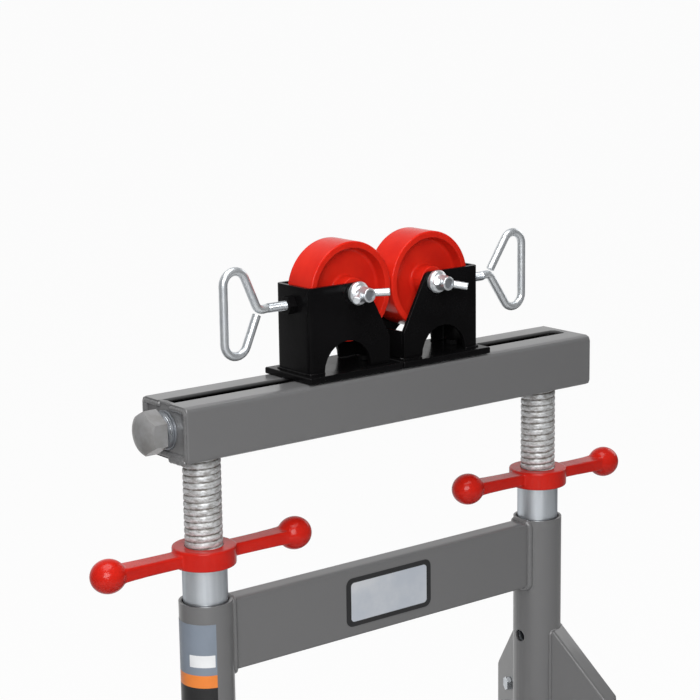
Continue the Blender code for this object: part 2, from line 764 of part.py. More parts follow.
def make_beam(material, parent):
    """A rectangular tube, slotted along its top from the left end."""
    bm = bmesh.new()
    outer = rounded_rectangle(BEAM_HEIGHT, BEAM_WIDTH, BEAM_CORNER)
    inner_height = BEAM_HEIGHT - 2 * BEAM_WALL
    inner_width = BEAM_WIDTH - 2 * BEAM_WALL
    inner = rounded_rectangle(inner_height, inner_width, BEAM_CORNER - BEAM_WALL)
    half = BEAM_LENGTH / 2
    add_section_tube(bm, outer, inner, -half, half, ALONG_X)
    beam = make_piece("beam", bm, material, parent, (0, 0, -BEAM_HEIGHT / 2))
    slot = bmesh.new()
    opening = rounded_rectangle(BEAM_LENGTH, SLOT_WIDTH, SLOT_CORNER)
    place = Matrix.Translation((-SLOT_END_MARGIN, 0, BEAM_HEIGHT / 2))
    add_prism(slot, opening, -BEAM_WALL - CUT_OVERRUN / 2, CUT_OVERRUN, place)
    combine(beam, "slot", slot)


def end_plate_outline(with_tongue):
    """The beam's bore seen from the end, at the slot with a tongue that fills its mouth."""
    x = BEAM_HEIGHT / 2 - BEAM_WALL - SEAT_GAP
    y = BEAM_WIDTH / 2 - BEAM_WALL - SEAT_GAP
    corner = BEAM_CORNER - BEAM_WALL
    if not with_tongue:
        return rounded_rectangle(2 * x, 2 * y, corner)
    tongue = SLOT_WIDTH / 2 - SEAT_GAP
    tip = BEAM_HEIGHT / 2 - END_TONGUE_DROP
    corners = [(-x, -y, corner), (x, -y, corner), (x, -tongue, 0), (tip, -tongue, END_TONGUE_SIDE)]
    corners += [(tip, tongue, END_TONGUE_SIDE), (x, tongue, 0), (x, y, corner), (-x, y, corner)]
    return rounded_outline(corners, CORNER_STEPS)


def make_end_plate(name, side, material, parent):
    """A plate welded a little way inside the tube, which carries the lead screw."""
    bm = bmesh.new()
    half = END_PLATE_THICKNESS / 2
    upright = ALONG_X @ Matrix.Rotation(math.pi, 4, "Z")
    add_prism(bm, end_plate_outline(side < 0), -half, half, upright)
    centre = side * (END_PLATE_OUTER - half)
    plate = make_piece(name, bm, material, parent, (centre, 0, -BEAM_HEIGHT / 2))
    bore = bmesh.new()
    reach = half + CUT_OVERRUN
    add_rod(bore, SCREW_DIAMETER / 2 + TURNING_CLEARANCE, -reach, reach, MEDIUM_SIDES, ALONG_X)
    combine(plate, "bore", bore)


def thrust_washer_faces():
    """Where the two thrust washers start, counted along X from the left end plate outward."""
    first = -END_PLATE_OUTER - SEAT_GAP - THRUST_WASHER_THICKNESS
    second = first - SEAT_GAP - THRUST_WASHER_THICKNESS
    return first, second


def make_lead_screw(material, washer_material, parent):
    """Left- and right-hand threads on one bar, drawn plain, with a hexagon drive head."""
    pivot = make_pivot("lead_screw_pivot", parent, (0, 0, -BEAM_HEIGHT / 2))
    radius = SCREW_DIAMETER / 2
    flats = SCREW_HEAD_FLATS / 2
    seat = thrust_washer_faces()[1] - SEAT_GAP
    face = seat - SCREW_HEAD_LENGTH
    tail = BEAM_LENGTH / 2 - END_PLATE_INSET + SCREW_TAIL
    bm = bmesh.new()
    rings = [ring(flats, face, HEXAGON_SIDES), ring(flats, face + SCREW_HEAD_CHAMFER, HEXAGON_SIDES, 6)]
    rings += [ring(flats, seat, HEXAGON_SIDES, 6), ring(radius, seat, HEXAGON_SIDES)]
    rings += [ring(radius, tail, HEXAGON_SIDES)]
    quarter = Matrix.Rotation(math.radians(90.0), 4, "Z")
    add_loft(bm, rings, matrix=ALONG_X @ quarter)
    make_piece("lead_screw", bm, material, pivot)
    bore = radius + TURNING_CLEARANCE
    for label, start in zip(("inner", "outer"), thrust_washer_faces()):
        washer = bmesh.new()
        end = start + THRUST_WASHER_THICKNESS
        add_tube(washer, THRUST_WASHER_DIAMETER / 2, bore, start, end, MEDIUM_SIDES, ALONG_X)
        make_piece(f"thrust_washer_{label}", washer, washer_material, pivot)
    collar = bmesh.new()
    low = -END_PLATE_INNER + SEAT_GAP
    add_tube(collar, COLLAR_DIAMETER / 2, bore, low, low + COLLAR_LENGTH, MEDIUM_SIDES, ALONG_X)
    make_piece("screw_collar", collar, washer_material, pivot)


def base_centre():
    return BASE_INNER + BASE_LENGTH / 2


def base_bolt_places():
    middle = base_centre()
    return middle - BASE_BOLT_SPACING / 2, middle + BASE_BOLT_SPACING / 2


def add_base_bolt_holes(bm, low, high):
    for x in base_bolt_places():
        place = Matrix.Translation((x, 0, 0))
        add_rod(bm, BASE_BOLT_DIAMETER / 2 + TURNING_CLEARANCE, low, high, SMALL_SIDES, place)


def make_carriage_base(name, material, pivot):
    bm = bmesh.new()
    place = Matrix.Translation((base_centre(), 0, 0))
    add_prism(bm, rounded_rectangle(BASE_LENGTH, BASE_WIDTH, BASE_EDGE, 1), SEAT_GAP, BASE_TOP, place)
    base = make_piece(name, bm, material, pivot)
    add_bevel(base, BASE_EDGE, 1, 60.0)
    holes = bmesh.new()
    add_base_bolt_holes(holes, SEAT_GAP - CUT_OVERRUN, BASE_TOP + CUT_OVERRUN)
    combine(base, "bolt_holes", holes)


def make_slide_nut(name, material, pivot):
    """A block in the beam, threaded on the lead screw, with a neck up through the slot."""
    x = SLOT_WIDTH / 2 - TURNING_CLEARANCE
    y = BEAM_WIDTH / 2 - BEAM_WALL - SLIDE_NUT_SIDE_CLEARANCE
    shoulder = -BEAM_WALL - SEAT_GAP
    low = -BEAM_HEIGHT + BEAM_WALL + SLIDE_NUT_BOTTOM_CLEARANCE
    cut = SLIDE_NUT_CHAMFER
    half = [(x, 0), (x, shoulder), (y, shoulder), (y, low + cut), (y - cut, low)]
    outline = [Vector((-height, across_slot, 0)) for across_slot, height in half]
    outline += [Vector((-height, -across_slot, 0)) for across_slot, height in reversed(half)]
    bm = bmesh.new()
    start = base_centre() - SLIDE_NUT_LENGTH / 2
    add_prism(bm, outline, start, start + SLIDE_NUT_LENGTH, ALONG_X)
    nut = make_piece(name, bm, material, pivot)
    bore = bmesh.new()
    place = Matrix.Translation((0, 0, -BEAM_HEIGHT / 2)) @ ALONG_X
    end = start + SLIDE_NUT_LENGTH + CUT_OVERRUN
    radius = SCREW_DIAMETER / 2 + TURNING_CLEARANCE
    add_rod(bore, radius, start - CUT_OVERRUN, end, MEDIUM_SIDES, place)
    combine(nut, "bore", bore)
    holes = bmesh.new()
    add_base_bolt_holes(holes, -BASE_BOLT_LENGTH - TURNING_CLEARANCE + BASE_TOP, CUT_OVERRUN)
    combine(nut, "bolt_holes", holes)


def make_carriage_bolt(name, x, material, pivot):
    bm = bmesh.new()
    place = Matrix.Translation((x, 0, BASE_TOP + SEAT_GAP))
    rings = bolt_rings(BASE_BOLT_DIAMETER, BASE_BOLT_FLATS, BASE_BOLT_HEAD, BASE_BOLT_LENGTH)
    add_loft(bm, rings, matrix=place)
    make_piece(name, bm, material, pivot)


def fork_plan():
    """The fork seen from above: a U of bent plate whose arms run past their cut ends."""
    half = FORK_WIDTH / 2
    inside = half - FORK_PLATE
    tip = FORK_INNER - CUT_OVERRUN
    corners = [(tip, -half, 0), (FORK_OUTER, -half, FORK_BEND), (FORK_OUTER, half, FORK_BEND)]
    corners += [(tip, half, 0), (tip, inside, 0), (FORK_END_INNER, inside, FORK_INNER_BEND)]
    corners += [(FORK_END_INNER, -inside, FORK_INNER_BEND), (tip, -inside, 0)]
    return rounded_outline(corners, CORNER_STEPS)


def fork_side():
    """The fork seen from the front: sloped and rounded inward, with an arch at its foot."""
    reach = FORK_OUTER + CUT_OVERRUN
    slope_top = FORK_INNER + FORK_SLOPE_RUN
    points = []
    for step in range(ARCH_STEPS + 1):
        angle = math.pi * step / ARCH_STEPS
        x = ARCH_REACH - ARCH_RADIUS * math.cos(angle)
        points.append(Vector((x, FORK_BOTTOM + ARCH_RADIUS * math.sin(angle), 0)))
    corners = [(reach, FORK_BOTTOM, 0), (reach, FORK_TOP, 0), (slope_top, FORK_TOP, FORK_TOP_CORNER)]
    corners += [(FORK_INNER, FORK_SLOPE_FOOT, FORK_FOOT_CORNER), (FORK_INNER, FORK_BOTTOM, 0)]
    return points + rounded_outline(corners, ARC_STEPS)


def make_fork(name, material, pivot):
    """A wheel fork: plate bent to a U, then cut to its side outline and drilled."""
    bm = bmesh.new()
    add_prism(bm, fork_plan(), FORK_BOTTOM - CUT_OVERRUN, FORK_TOP + CUT_OVERRUN)
    fork = make_piece(name, bm, material, pivot)
    side = bmesh.new()
    width = FORK_WIDTH + 2 * CUT_OVERRUN
    add_prism(side, fork_side(), 0, width, across(width))
    combine(fork, "side", side, "INTERSECT")
    holes = bmesh.new()
    reach = FORK_WIDTH / 2 + CUT_OVERRUN
    place = Matrix.Translation((AXLE_REACH, 0, AXLE_HEIGHT)) @ ALONG_Y
    add_rod(holes, AXLE_DIAMETER / 2 + TURNING_CLEARANCE, -reach, reach, MEDIUM_SIDES, place)
    combine(fork, "axle_holes", holes)
    hole = bmesh.new()
    place = Matrix.Translation((0, 0, BRAKE_HEIGHT)) @ ALONG_X
    low = FORK_END_INNER - CUT_OVERRUN
    add_rod(hole, BRAKE_HOLE_DIAMETER / 2, low, FORK_OUTER + CUT_OVERRUN, MEDIUM_SIDES, place)
    combine(fork, "brake_hole", hole)


def make_brake_nut(name, material, pivot):
    bm = bmesh.new()
    place = Matrix.Translation((0, 0, BRAKE_HEIGHT)) @ ALONG_X
    low = FORK_OUTER + SEAT_GAP
    bore = BRAKE_THREAD_DIAMETER + 2 * TURNING_CLEARANCE
    add_nut(bm, bore, BRAKE_NUT_FLATS, low, low + BRAKE_NUT_LENGTH, place)
    make_piece(name, bm, material, pivot)


def make_axle(name, material, parent, location):
    """A shouldered bolt put in from behind, with a thinner thread for the wing nut."""
    back = FORK_WIDTH / 2 + SEAT_GAP
    shoulder = -FORK_WIDTH / 2 + SEAT_GAP
    front = -FORK_WIDTH / 2 - AXLE_THREAD_LENGTH
    flats = AXLE_HEAD_FLATS / 2
    bm = bmesh.new()
    sides = HEXAGON_SIDES
    rings = [ring(flats, back + AXLE_HEAD_HEIGHT, sides, 6), ring(flats, back, sides, 6)]
    rings += [ring(AXLE_DIAMETER / 2, back, sides), ring(AXLE_DIAMETER / 2, shoulder, sides)]
    thread = AXLE_THREAD_DIAMETER / 2
    rings += [ring(thread, shoulder, sides), ring(thread, front, sides)]
    add_loft(bm, rings, matrix=ALONG_Y)
    make_piece(name, bm, material, parent, location)


def wheel_hub_end():
    """Distance of the hub's end from the middle of the fork."""
    return FORK_WIDTH / 2 - FORK_PLATE - SEAT_GAP


def make_wheel(name, material, pivot):
    """A turned steel wheel: wide tread, recessed web and a hub that fills the fork."""
    radius = WHEEL_DIAMETER / 2
    face = WHEEL_WIDTH / 2
    hub_end = wheel_hub_end()
    rim = radius - RIM_DEPTH
    web = face - WEB_RECESS
    hub = WHEEL_HUB_DIAMETER / 2
    bore = BUSH_DIAMETER / 2 + SEAT_GAP
    half = [(radius, face - WHEEL_EDGE), (radius - WHEEL_EDGE, face), (rim, face)]
    half += [(rim - RIM_DRAFT, web), (hub, web), (hub, hub_end), (bore, hub_end)]
    profile = half + [(reach, -depth) for reach, depth in reversed(half)]
    bm = bmesh.new()
    add_loft(bm, [ring(reach, depth, WHEEL_SIDES) for reach, depth in profile], True, ALONG_Y)
    make_piece(name, bm, material, pivot)


def make_wheel_bush(name, material, pivot):
    bm = bmesh.new()
    bore = AXLE_DIAMETER / 2 + TURNING_CLEARANCE
    end = wheel_hub_end()
    add_tube(bm, BUSH_DIAMETER / 2, bore, -end, end, MEDIUM_SIDES, ALONG_Y)
    make_piece(name, bm, material, pivot)


def make_wing_washer(name, material, pivot):
    bm = bmesh.new()
    bore = AXLE_THREAD_DIAMETER / 2 + TURNING_CLEARANCE
    add_tube(bm, WING_WASHER_DIAMETER / 2, bore, -WING_WASHER_THICKNESS, 0, MEDIUM_SIDES, ALONG_Y)
    make_piece(name, bm, material, pivot)


def make_wing_nut(name, degrees, material, pivot):
    """A tapered boss, open at its end, with two round wings that lean outward."""
    base = WING_BOSS_BASE / 2
    end = WING_BOSS_END / 2
    bm = bmesh.new()
    rings = [ring(base, 0, MEDIUM_SIDES), ring(end, -WING_BOSS_LENGTH, MEDIUM_SIDES)]
    add_loft(bm, rings, matrix=ALONG_Y)
    start = -WING_WASHER_THICKNESS - SEAT_GAP
    turn = (0, -math.radians(degrees), 0)
    nut = make_piece(name, bm, material, pivot, (0, start, 0), turn)
    for label, side in SIDES:
        root = Vector((side * WING_ROOT_REACH, -WING_ROOT_HEIGHT, 0))
        tip = Vector((side * WING_TIP_REACH, -WING_TIP_HEIGHT, 0))
        lean = (tip - root).to_track_quat("Z", "Y").to_matrix().to_4x4()
        wing = bmesh.new()
        place = Matrix.Translation(root) @ lean
        add_rod(wing, WING_ROD_DIAMETER / 2, 0, (tip - root).length, SMALL_SIDES, place)
        combine(nut, f"{label}_wing", wing, "UNION")
    bore = bmesh.new()
    radius = AXLE_THREAD_DIAMETER / 2 + TURNING_CLEARANCE
    add_rod(bore, radius, -WING_BOSS_LENGTH - CUT_OVERRUN, CUT_OVERRUN, MEDIUM_SIDES, ALONG_Y)
    combine(nut, "bore", bore)


def pad_back():
    """Distance of the brake pad's back from the middle of the beam."""
    return FORK_END_INNER - PAD_PLAY


def make_brake_pad(name, material, pivot):
    """A disc that faces the tread, with a shallow socket for the end of the screw."""
    front = pad_back() - PAD_THICKNESS
    outer = PAD_DIAMETER / 2
    socket = BRAKE_THREAD_DIAMETER / 2 + PAD_SOCKET_WALL
    floor = pad_back() - PAD_SOCKET_DEPTH
    bm = bmesh.new()
    rings = [ring(outer, front, MEDIUM_SIDES), ring(outer, pad_back(), MEDIUM_SIDES)]
    rings += [ring(socket, pad_back(), MEDIUM_SIDES), ring(socket, floor, MEDIUM_SIDES)]
    place = Matrix.Translation((0, 0, BRAKE_HEIGHT)) @ ALONG_X
    add_loft(bm, rings, matrix=place)
    make_piece(name, bm, material, pivot)


def brake_arm_slope():
    """How fast an arm of the loop runs out as it rises, to meet its bend as a tangent."""
    run = BRAKE_LOOP_REACH - BRAKE_LOOP_CORNER - BRAKE_KINK_REACH
    rise = BRAKE_LOOP_HALF_HEIGHT - BRAKE_LOOP_CORNER
    angle = math.atan2(run, rise) - math.asin(BRAKE_LOOP_CORNER / math.hypot(run, rise))
    return math.tan(angle)


def make_brake_screw(name, turn, material, pivot):
    """A screw whose plain end is bent to a loop, so that it turns by hand."""
    start = pad_back() - PAD_SOCKET_DEPTH + SEAT_GAP
    thread_end = FORK_OUTER + BRAKE_THREAD_END
    kink = FORK_OUTER + BRAKE_KINK_REACH
    leg = FORK_OUTER + BRAKE_LOOP_REACH
    slope = brake_arm_slope()
    corner = (leg - kink) / slope
    tip = kink + slope * BRAKE_TIP_DROP
    corners = [(thread_end, 0, 0), (kink, 0, BRAKE_KINK_BEND), (leg, -corner, BRAKE_LOOP_CORNER)]
    corners += [(leg, corner, BRAKE_LOOP_CORNER), (tip, BRAKE_TIP_DROP, 0)]
    loop = rounded_path(corners, ARC_STEPS)
    rod = [Vector((start, 0, 0)), Vector((thread_end - SEAT_GAP, 0, 0))]
    thread_share = BRAKE_THREAD_DIAMETER / BRAKE_WIRE_DIAMETER
    shares = [thread_share] * len(rod) + [1.0] * len(loop)
    place = (0, 0, BRAKE_HEIGHT)
    radius = BRAKE_WIRE_DIAMETER / 2
    make_swept_rod(name, rod + loop, shares, radius, material, pivot, place, (turn, 0, 0))


def make_carriage(label, side, materials, lift):
    """One carriage. The left one is the right one turned half round about the middle."""
    turn = 0 if side > 0 else math.pi
    pivot = make_pivot(f"carriage_{label}_pivot", lift, (0, 0, 0), turn)
    make_carriage_base(f"carriage_base_{label}", materials["black"], pivot)
    make_fork(f"roller_fork_{label}", materials["black"], pivot)
    make_brake_nut(f"brake_nut_{label}", materials["black"], pivot)
    make_slide_nut(f"slide_nut_{label}", materials["steel"], pivot)
    for place, x in zip(("inner", "outer"), base_bolt_places()):
        make_carriage_bolt(f"carriage_bolt_{label}_{place}", x, materials["steel"], pivot)
    make_brake_pad(f"brake_pad_{label}", materials["steel"], pivot)
    screw_turn = 0 if side > 0 else math.pi
    make_brake_screw(f"brake_screw_{label}", screw_turn, materials["zinc"], pivot)
    axle_place = (side * AXLE_REACH, 0, AXLE_HEIGHT)
    make_axle(f"axle_{label}", materials["zinc"], lift, axle_place)
    wheel_pivot = make_pivot(f"wheel_{label}_pivot", lift, axle_place)
    make_wheel(f"wheel_{label}", materials["red"], wheel_pivot)
    make_wheel_bush(f"wheel_bush_{label}", materials["bronze"], wheel_pivot)
    seat = (side * AXLE_REACH, -FORK_WIDTH / 2 - SEAT_GAP, AXLE_HEIGHT)
    nut_pivot = make_pivot(f"wing_nut_{label}_pivot", lift, seat)
    make_wing_washer(f"wing_washer_{label}", materials["zinc"], nut_pivot)
    degrees = RIGHT_WING_DEGREES if side > 0 else LEFT_WING_DEGREES
    make_wing_nut(f"wing_nut_{label}", degrees, materials["zinc"], nut_pivot)


def make_lift(materials, parent):
    """The beam on its two jack tubes, and all that rides on it."""
    lift = make_pivot("lift_pivot", parent, (0, 0, BEAM_TOP))
    make_beam(materials["grey"], lift)
    for label, side in SIDES:
        make_jack_tube(f"jack_tube_{label}", side * POST_SPACING / 2, materials["zinc"], lift)
        make_end_plate(f"beam_end_{label}", side, materials["grey"], lift)
    make_lead_screw(materials["grey"], materials["zinc"], lift)
    for label, side in SIDES:
        make_carriage(label, side, materials, lift)


def build_stand():
    clear_scene()
    materials = {"grey": grey_paint(), "black": black_paint(), "red": red_paint()}
    materials.update({"zinc": zinc_plate(), "steel": dark_steel(), "bronze": bronze()})
    frame = make_lower_frame(materials)
    for label, side in SIDES:
        x = side * POST_SPACING / 2
        degrees = RIGHT_HANDLE_DEGREES if side > 0 else LEFT_HANDLE_DEGREES
        make_inner_tube(f"inner_tube_{label}", x, materials["zinc"], frame)
        make_height_pin(f"height_pin_{label}", side, materials["zinc"], frame)
        make_spin_handle(f"spin_handle_{label}", x, degrees, materials["red"], frame)
    make_lift(materials, frame)
    even_shading()


build_stand()
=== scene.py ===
"""Looks of the pipe jack stand: paint, plating, threads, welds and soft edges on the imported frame."""
import json
import math

import bmesh
import bpy
from mathutils import Matrix, Quaternion, Vector, noise

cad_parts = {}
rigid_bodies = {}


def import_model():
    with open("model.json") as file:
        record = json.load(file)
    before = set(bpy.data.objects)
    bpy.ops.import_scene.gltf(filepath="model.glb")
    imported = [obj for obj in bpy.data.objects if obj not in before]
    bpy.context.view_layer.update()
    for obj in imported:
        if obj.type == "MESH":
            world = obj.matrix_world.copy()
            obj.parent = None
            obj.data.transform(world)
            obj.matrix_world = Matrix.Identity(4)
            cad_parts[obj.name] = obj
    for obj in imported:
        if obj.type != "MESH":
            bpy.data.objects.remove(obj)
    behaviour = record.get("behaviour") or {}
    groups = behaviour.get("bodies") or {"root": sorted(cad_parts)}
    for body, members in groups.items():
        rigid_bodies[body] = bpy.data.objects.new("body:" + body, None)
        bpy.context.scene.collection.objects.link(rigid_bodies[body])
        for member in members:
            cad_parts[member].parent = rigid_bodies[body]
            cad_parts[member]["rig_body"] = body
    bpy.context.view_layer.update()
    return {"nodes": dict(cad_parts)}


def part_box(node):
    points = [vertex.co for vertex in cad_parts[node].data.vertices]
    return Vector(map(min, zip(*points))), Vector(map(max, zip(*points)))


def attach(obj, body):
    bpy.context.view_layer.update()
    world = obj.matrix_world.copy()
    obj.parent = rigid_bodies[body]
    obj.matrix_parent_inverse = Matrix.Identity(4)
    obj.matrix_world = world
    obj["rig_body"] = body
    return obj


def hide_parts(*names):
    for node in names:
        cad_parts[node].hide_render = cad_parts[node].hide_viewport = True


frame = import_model()
scene = bpy.context.scene
scene.view_settings.view_transform = "Standard"


# Camera
# It stands left of the beam's drive end, a little above the rollers, with a long lens, and
# leans by less than a degree, as the photograph does.
camera_data = bpy.data.cameras.new("camera")
camera_data.lens = 100.99
camera_data.sensor_width = 36.0
camera_data.clip_end = 2000.0
camera = bpy.data.objects.new("camera", camera_data)
scene.collection.objects.link(camera)
camera_turn = Matrix.Rotation(math.radians(-37.88), 4, "Z")
camera_tilt = Matrix.Rotation(math.radians(90.0 - 11.59), 4, "X")
camera_roll = Matrix.Rotation(math.radians(-0.84), 4, "Z")
camera_place = Matrix.Translation((-1.39576, -1.73784, 1.2545))
camera.matrix_world = camera_place @ camera_turn @ camera_tilt @ camera_roll
scene.camera = camera


# Studio
# A white floor without an edge runs up to a white backdrop. A broad soft lamp hangs overhead,
# one stands beside the camera and a weaker one at the back on the right. Paint and metal
# mirror the backdrop only where it stands behind the object.
def new_material(name):
    material = bpy.data.materials.new(name)
    material.use_nodes = True
    return material, material.node_tree.nodes, material.node_tree.links


def add_soft_lamp(name, place, aim, size, power):
    lamp_data = bpy.data.lights.new(name, "AREA")
    lamp_data.shape = "DISK"
    lamp_data.size = size
    lamp_data.energy = power
    lamp = bpy.data.objects.new(name, lamp_data)
    scene.collection.objects.link(lamp)
    lamp.location = place
    lamp.rotation_euler = (Vector(aim) - Vector(place)).to_track_quat("-Z", "Y").to_euler()


world = bpy.data.worlds.new("studio")
scene.world = world
world.use_nodes = True
world_nodes = world.node_tree.nodes
world_links = world.node_tree.links
surround = world_nodes["Background"]
surround.inputs["Color"].default_value = (1.0, 1.0, 1.0, 1.0)
BACKDROP_WAY = (0.25, 0.968, 0.0)
BACKDROP_GLOW = 0.975
ROOM_GLOW = 0.16
FLOOR_GLOW = 0.965


def add_backdrop_share(nodes, links, socket):
    """The share of the white backdrop that a ray finds: all if seen, what lies behind in a gloss."""
    rays = nodes.new("ShaderNodeLightPath")
    seen = nodes.new("ShaderNodeMath")
    seen.operation = "MAXIMUM"
    direction = nodes.new("ShaderNodeTexCoord")
    toward = nodes.new("ShaderNodeVectorMath")
    toward.operation = "NORMALIZE"
    behind = nodes.new("ShaderNodeVectorMath")
    behind.operation = "DOT_PRODUCT"
    behind.inputs[1].default_value = BACKDROP_WAY
    fade = nodes.new("ShaderNodeMapRange")
    fade.inputs["From Min"].default_value = 0.42
    fade.inputs["From Max"].default_value = 1.02
    gloss = nodes.new("ShaderNodeMath")
    gloss.operation = "MULTIPLY"
    share = nodes.new("ShaderNodeMath")
    share.operation = "MAXIMUM"
    links.new(direction.outputs[socket], toward.inputs[0])
    links.new(toward.outputs["Vector"], behind.inputs[0])
    links.new(behind.outputs["Value"], fade.inputs["Value"])
    links.new(rays.outputs["Is Glossy Ray"], gloss.inputs[0])
    links.new(fade.outputs["Result"], gloss.inputs[1])
    links.new(rays.outputs["Is Camera Ray"], seen.inputs[0])
    links.new(rays.outputs["Is Transmission Ray"], seen.inputs[1])
    links.new(seen.outputs[0], share.inputs[0])
    links.new(gloss.outputs[0], share.inputs[1])
    return share.outputs[0]


strength = world_nodes.new("ShaderNodeMapRange")
strength.inputs["To Min"].default_value = ROOM_GLOW
strength.inputs["To Max"].default_value = BACKDROP_GLOW
world_links.new(add_backdrop_share(world_nodes, world_links, "Generated"), strength.inputs["Value"])
world_links.new(strength.outputs["Result"], surround.inputs["Strength"])

bpy.ops.object.select_all(action="DESELECT")
bpy.ops.mesh.primitive_plane_add(size=800.0, location=(0, 0, -0.0005))
floor = bpy.context.object
floor.name = "studio_floor"
floor_material, nodes, links = new_material("studio_floor")
floor_paper = nodes["Principled BSDF"]
floor_paper.inputs["Base Color"].default_value = (0.50, 0.50, 0.50, 1.0)
floor_paper.inputs["Roughness"].default_value = 0.9
floor_paper.inputs["Specular IOR Level"].default_value = 0.1
floor_glow = nodes.new("ShaderNodeEmission")
floor_share = nodes.new("ShaderNodeMath")
floor_share.operation = "MULTIPLY"
floor_share.inputs[1].default_value = FLOOR_GLOW
links.new(add_backdrop_share(nodes, links, "Object"), floor_share.inputs[0])
floor_mix = nodes.new("ShaderNodeMixShader")
links.new(floor_share.outputs[0], floor_mix.inputs["Fac"])
links.new(floor_paper.outputs["BSDF"], floor_mix.inputs[1])
links.new(floor_glow.outputs["Emission"], floor_mix.inputs[2])
links.new(floor_mix.outputs["Shader"], nodes["Material Output"].inputs["Surface"])
floor.data.materials.append(floor_material)

add_soft_lamp("lamp_overhead", (-0.5, -0.3, 3.0), (0.0, 0.0, 0.7), 2.2, 52.0)
add_soft_lamp("lamp_front", (-1.8, -2.3, 1.9), (0.0, 0.0, 0.6), 2.0, 85.0)
add_soft_lamp("lamp_right", (2.4, 0.4, 1.6), (0.0, 0.0, 0.6), 1.4, 10.0)


# Painted steel frame: posts, crossbar, leg brackets, legs and feet
# Pipe, rectangular tube and folded plate, welded up and sprayed one satin mid grey, so the
# edges are soft with paint and the welds are grey too.
def new_finish_group(name, inputs, outputs):
    """A shader node group with named sockets; each input is (name, kind, value)."""
    group = bpy.data.node_groups.new(name, "ShaderNodeTree")
    for label, kind, value in inputs:
        socket = group.interface.new_socket(label, in_out="INPUT", socket_type=kind)
        socket.default_value = value
    for label, kind in outputs:
        group.interface.new_socket(label, in_out="OUTPUT", socket_type=kind)
    return group, group.nodes.new("NodeGroupInput"), group.nodes.new("NodeGroupOutput")


COLOUR = "NodeSocketColor"
NUMBER = "NodeSocketFloat"
VECTOR = "NodeSocketVector"

coating, coat_in, coat_out = new_finish_group(
    "uneven_coating",
    [("Colour", COLOUR, (0.5, 0.5, 0.5, 1)), ("Second Colour", COLOUR, (0.4, 0.4, 0.4, 1)),
     ("Patch Scale", NUMBER, 12.0), ("Patch Detail", NUMBER, 5.0),
     ("Roughness", NUMBER, 0.4), ("Roughness Spread", NUMBER, 0.15),
     ("Grain Scale", NUMBER, 700.0), ("Grain Height", NUMBER, 0.0001)],
    [("Colour", COLOUR), ("Roughness", NUMBER), ("Normal", VECTOR)])
place = coating.nodes.new("ShaderNodeTexCoord")
patches = coating.nodes.new("ShaderNodeTexNoise")
patches.inputs["Roughness"].default_value = 0.62
spread = coating.nodes.new("ShaderNodeMapRange")
spread.interpolation_type = "SMOOTHSTEP"
spread.inputs["From Min"].default_value = 0.30
spread.inputs["From Max"].default_value = 0.70
tint = coating.nodes.new("ShaderNodeMix")
tint.data_type = "RGBA"
grain = coating.nodes.new("ShaderNodeTexNoise")
grain.inputs["Detail"].default_value = 2.0
bump = coating.nodes.new("ShaderNodeBump")
bump.inputs["Strength"].default_value = 1.0
uneven = coating.nodes.new("ShaderNodeMath")
uneven.operation = "MULTIPLY_ADD"
middle = coating.nodes.new("ShaderNodeMath")
middle.operation = "SUBTRACT"
middle.inputs[1].default_value = 0.5
join = coating.links.new
join(place.outputs["Object"], patches.inputs["Vector"])
join(place.outputs["Object"], grain.inputs["Vector"])
join(coat_in.outputs["Patch Scale"], patches.inputs["Scale"])
join(coat_in.outputs["Patch Detail"], patches.inputs["Detail"])
join(coat_in.outputs["Grain Scale"], grain.inputs["Scale"])
join(patches.outputs["Fac"], spread.inputs["Value"])
join(spread.outputs["Result"], tint.inputs["Factor"])
join(coat_in.outputs["Colour"], tint.inputs["A"])
join(coat_in.outputs["Second Colour"], tint.inputs["B"])
join(spread.outputs["Result"], middle.inputs[0])
join(middle.outputs[0], uneven.inputs[0])
join(coat_in.outputs["Roughness Spread"], uneven.inputs[1])
join(coat_in.outputs["Roughness"], uneven.inputs[2])
join(grain.outputs["Fac"], bump.inputs["Height"])
join(coat_in.outputs["Grain Height"], bump.inputs["Distance"])
join(tint.outputs["Result"], coat_out.inputs["Colour"])
join(uneven.outputs[0], coat_out.inputs["Roughness"])
join(bump.outputs["Normal"], coat_out.inputs["Normal"])


# Painted shade: a near-black colour with almost no gloss, put on the shaded insides of tubes and the
# beam's slot.
PAINTED_SHADE_COLOUR = (0.004, 0.004, 0.004, 1)
PAINTED_SHADE_GLOSS_SHARE = 0.05


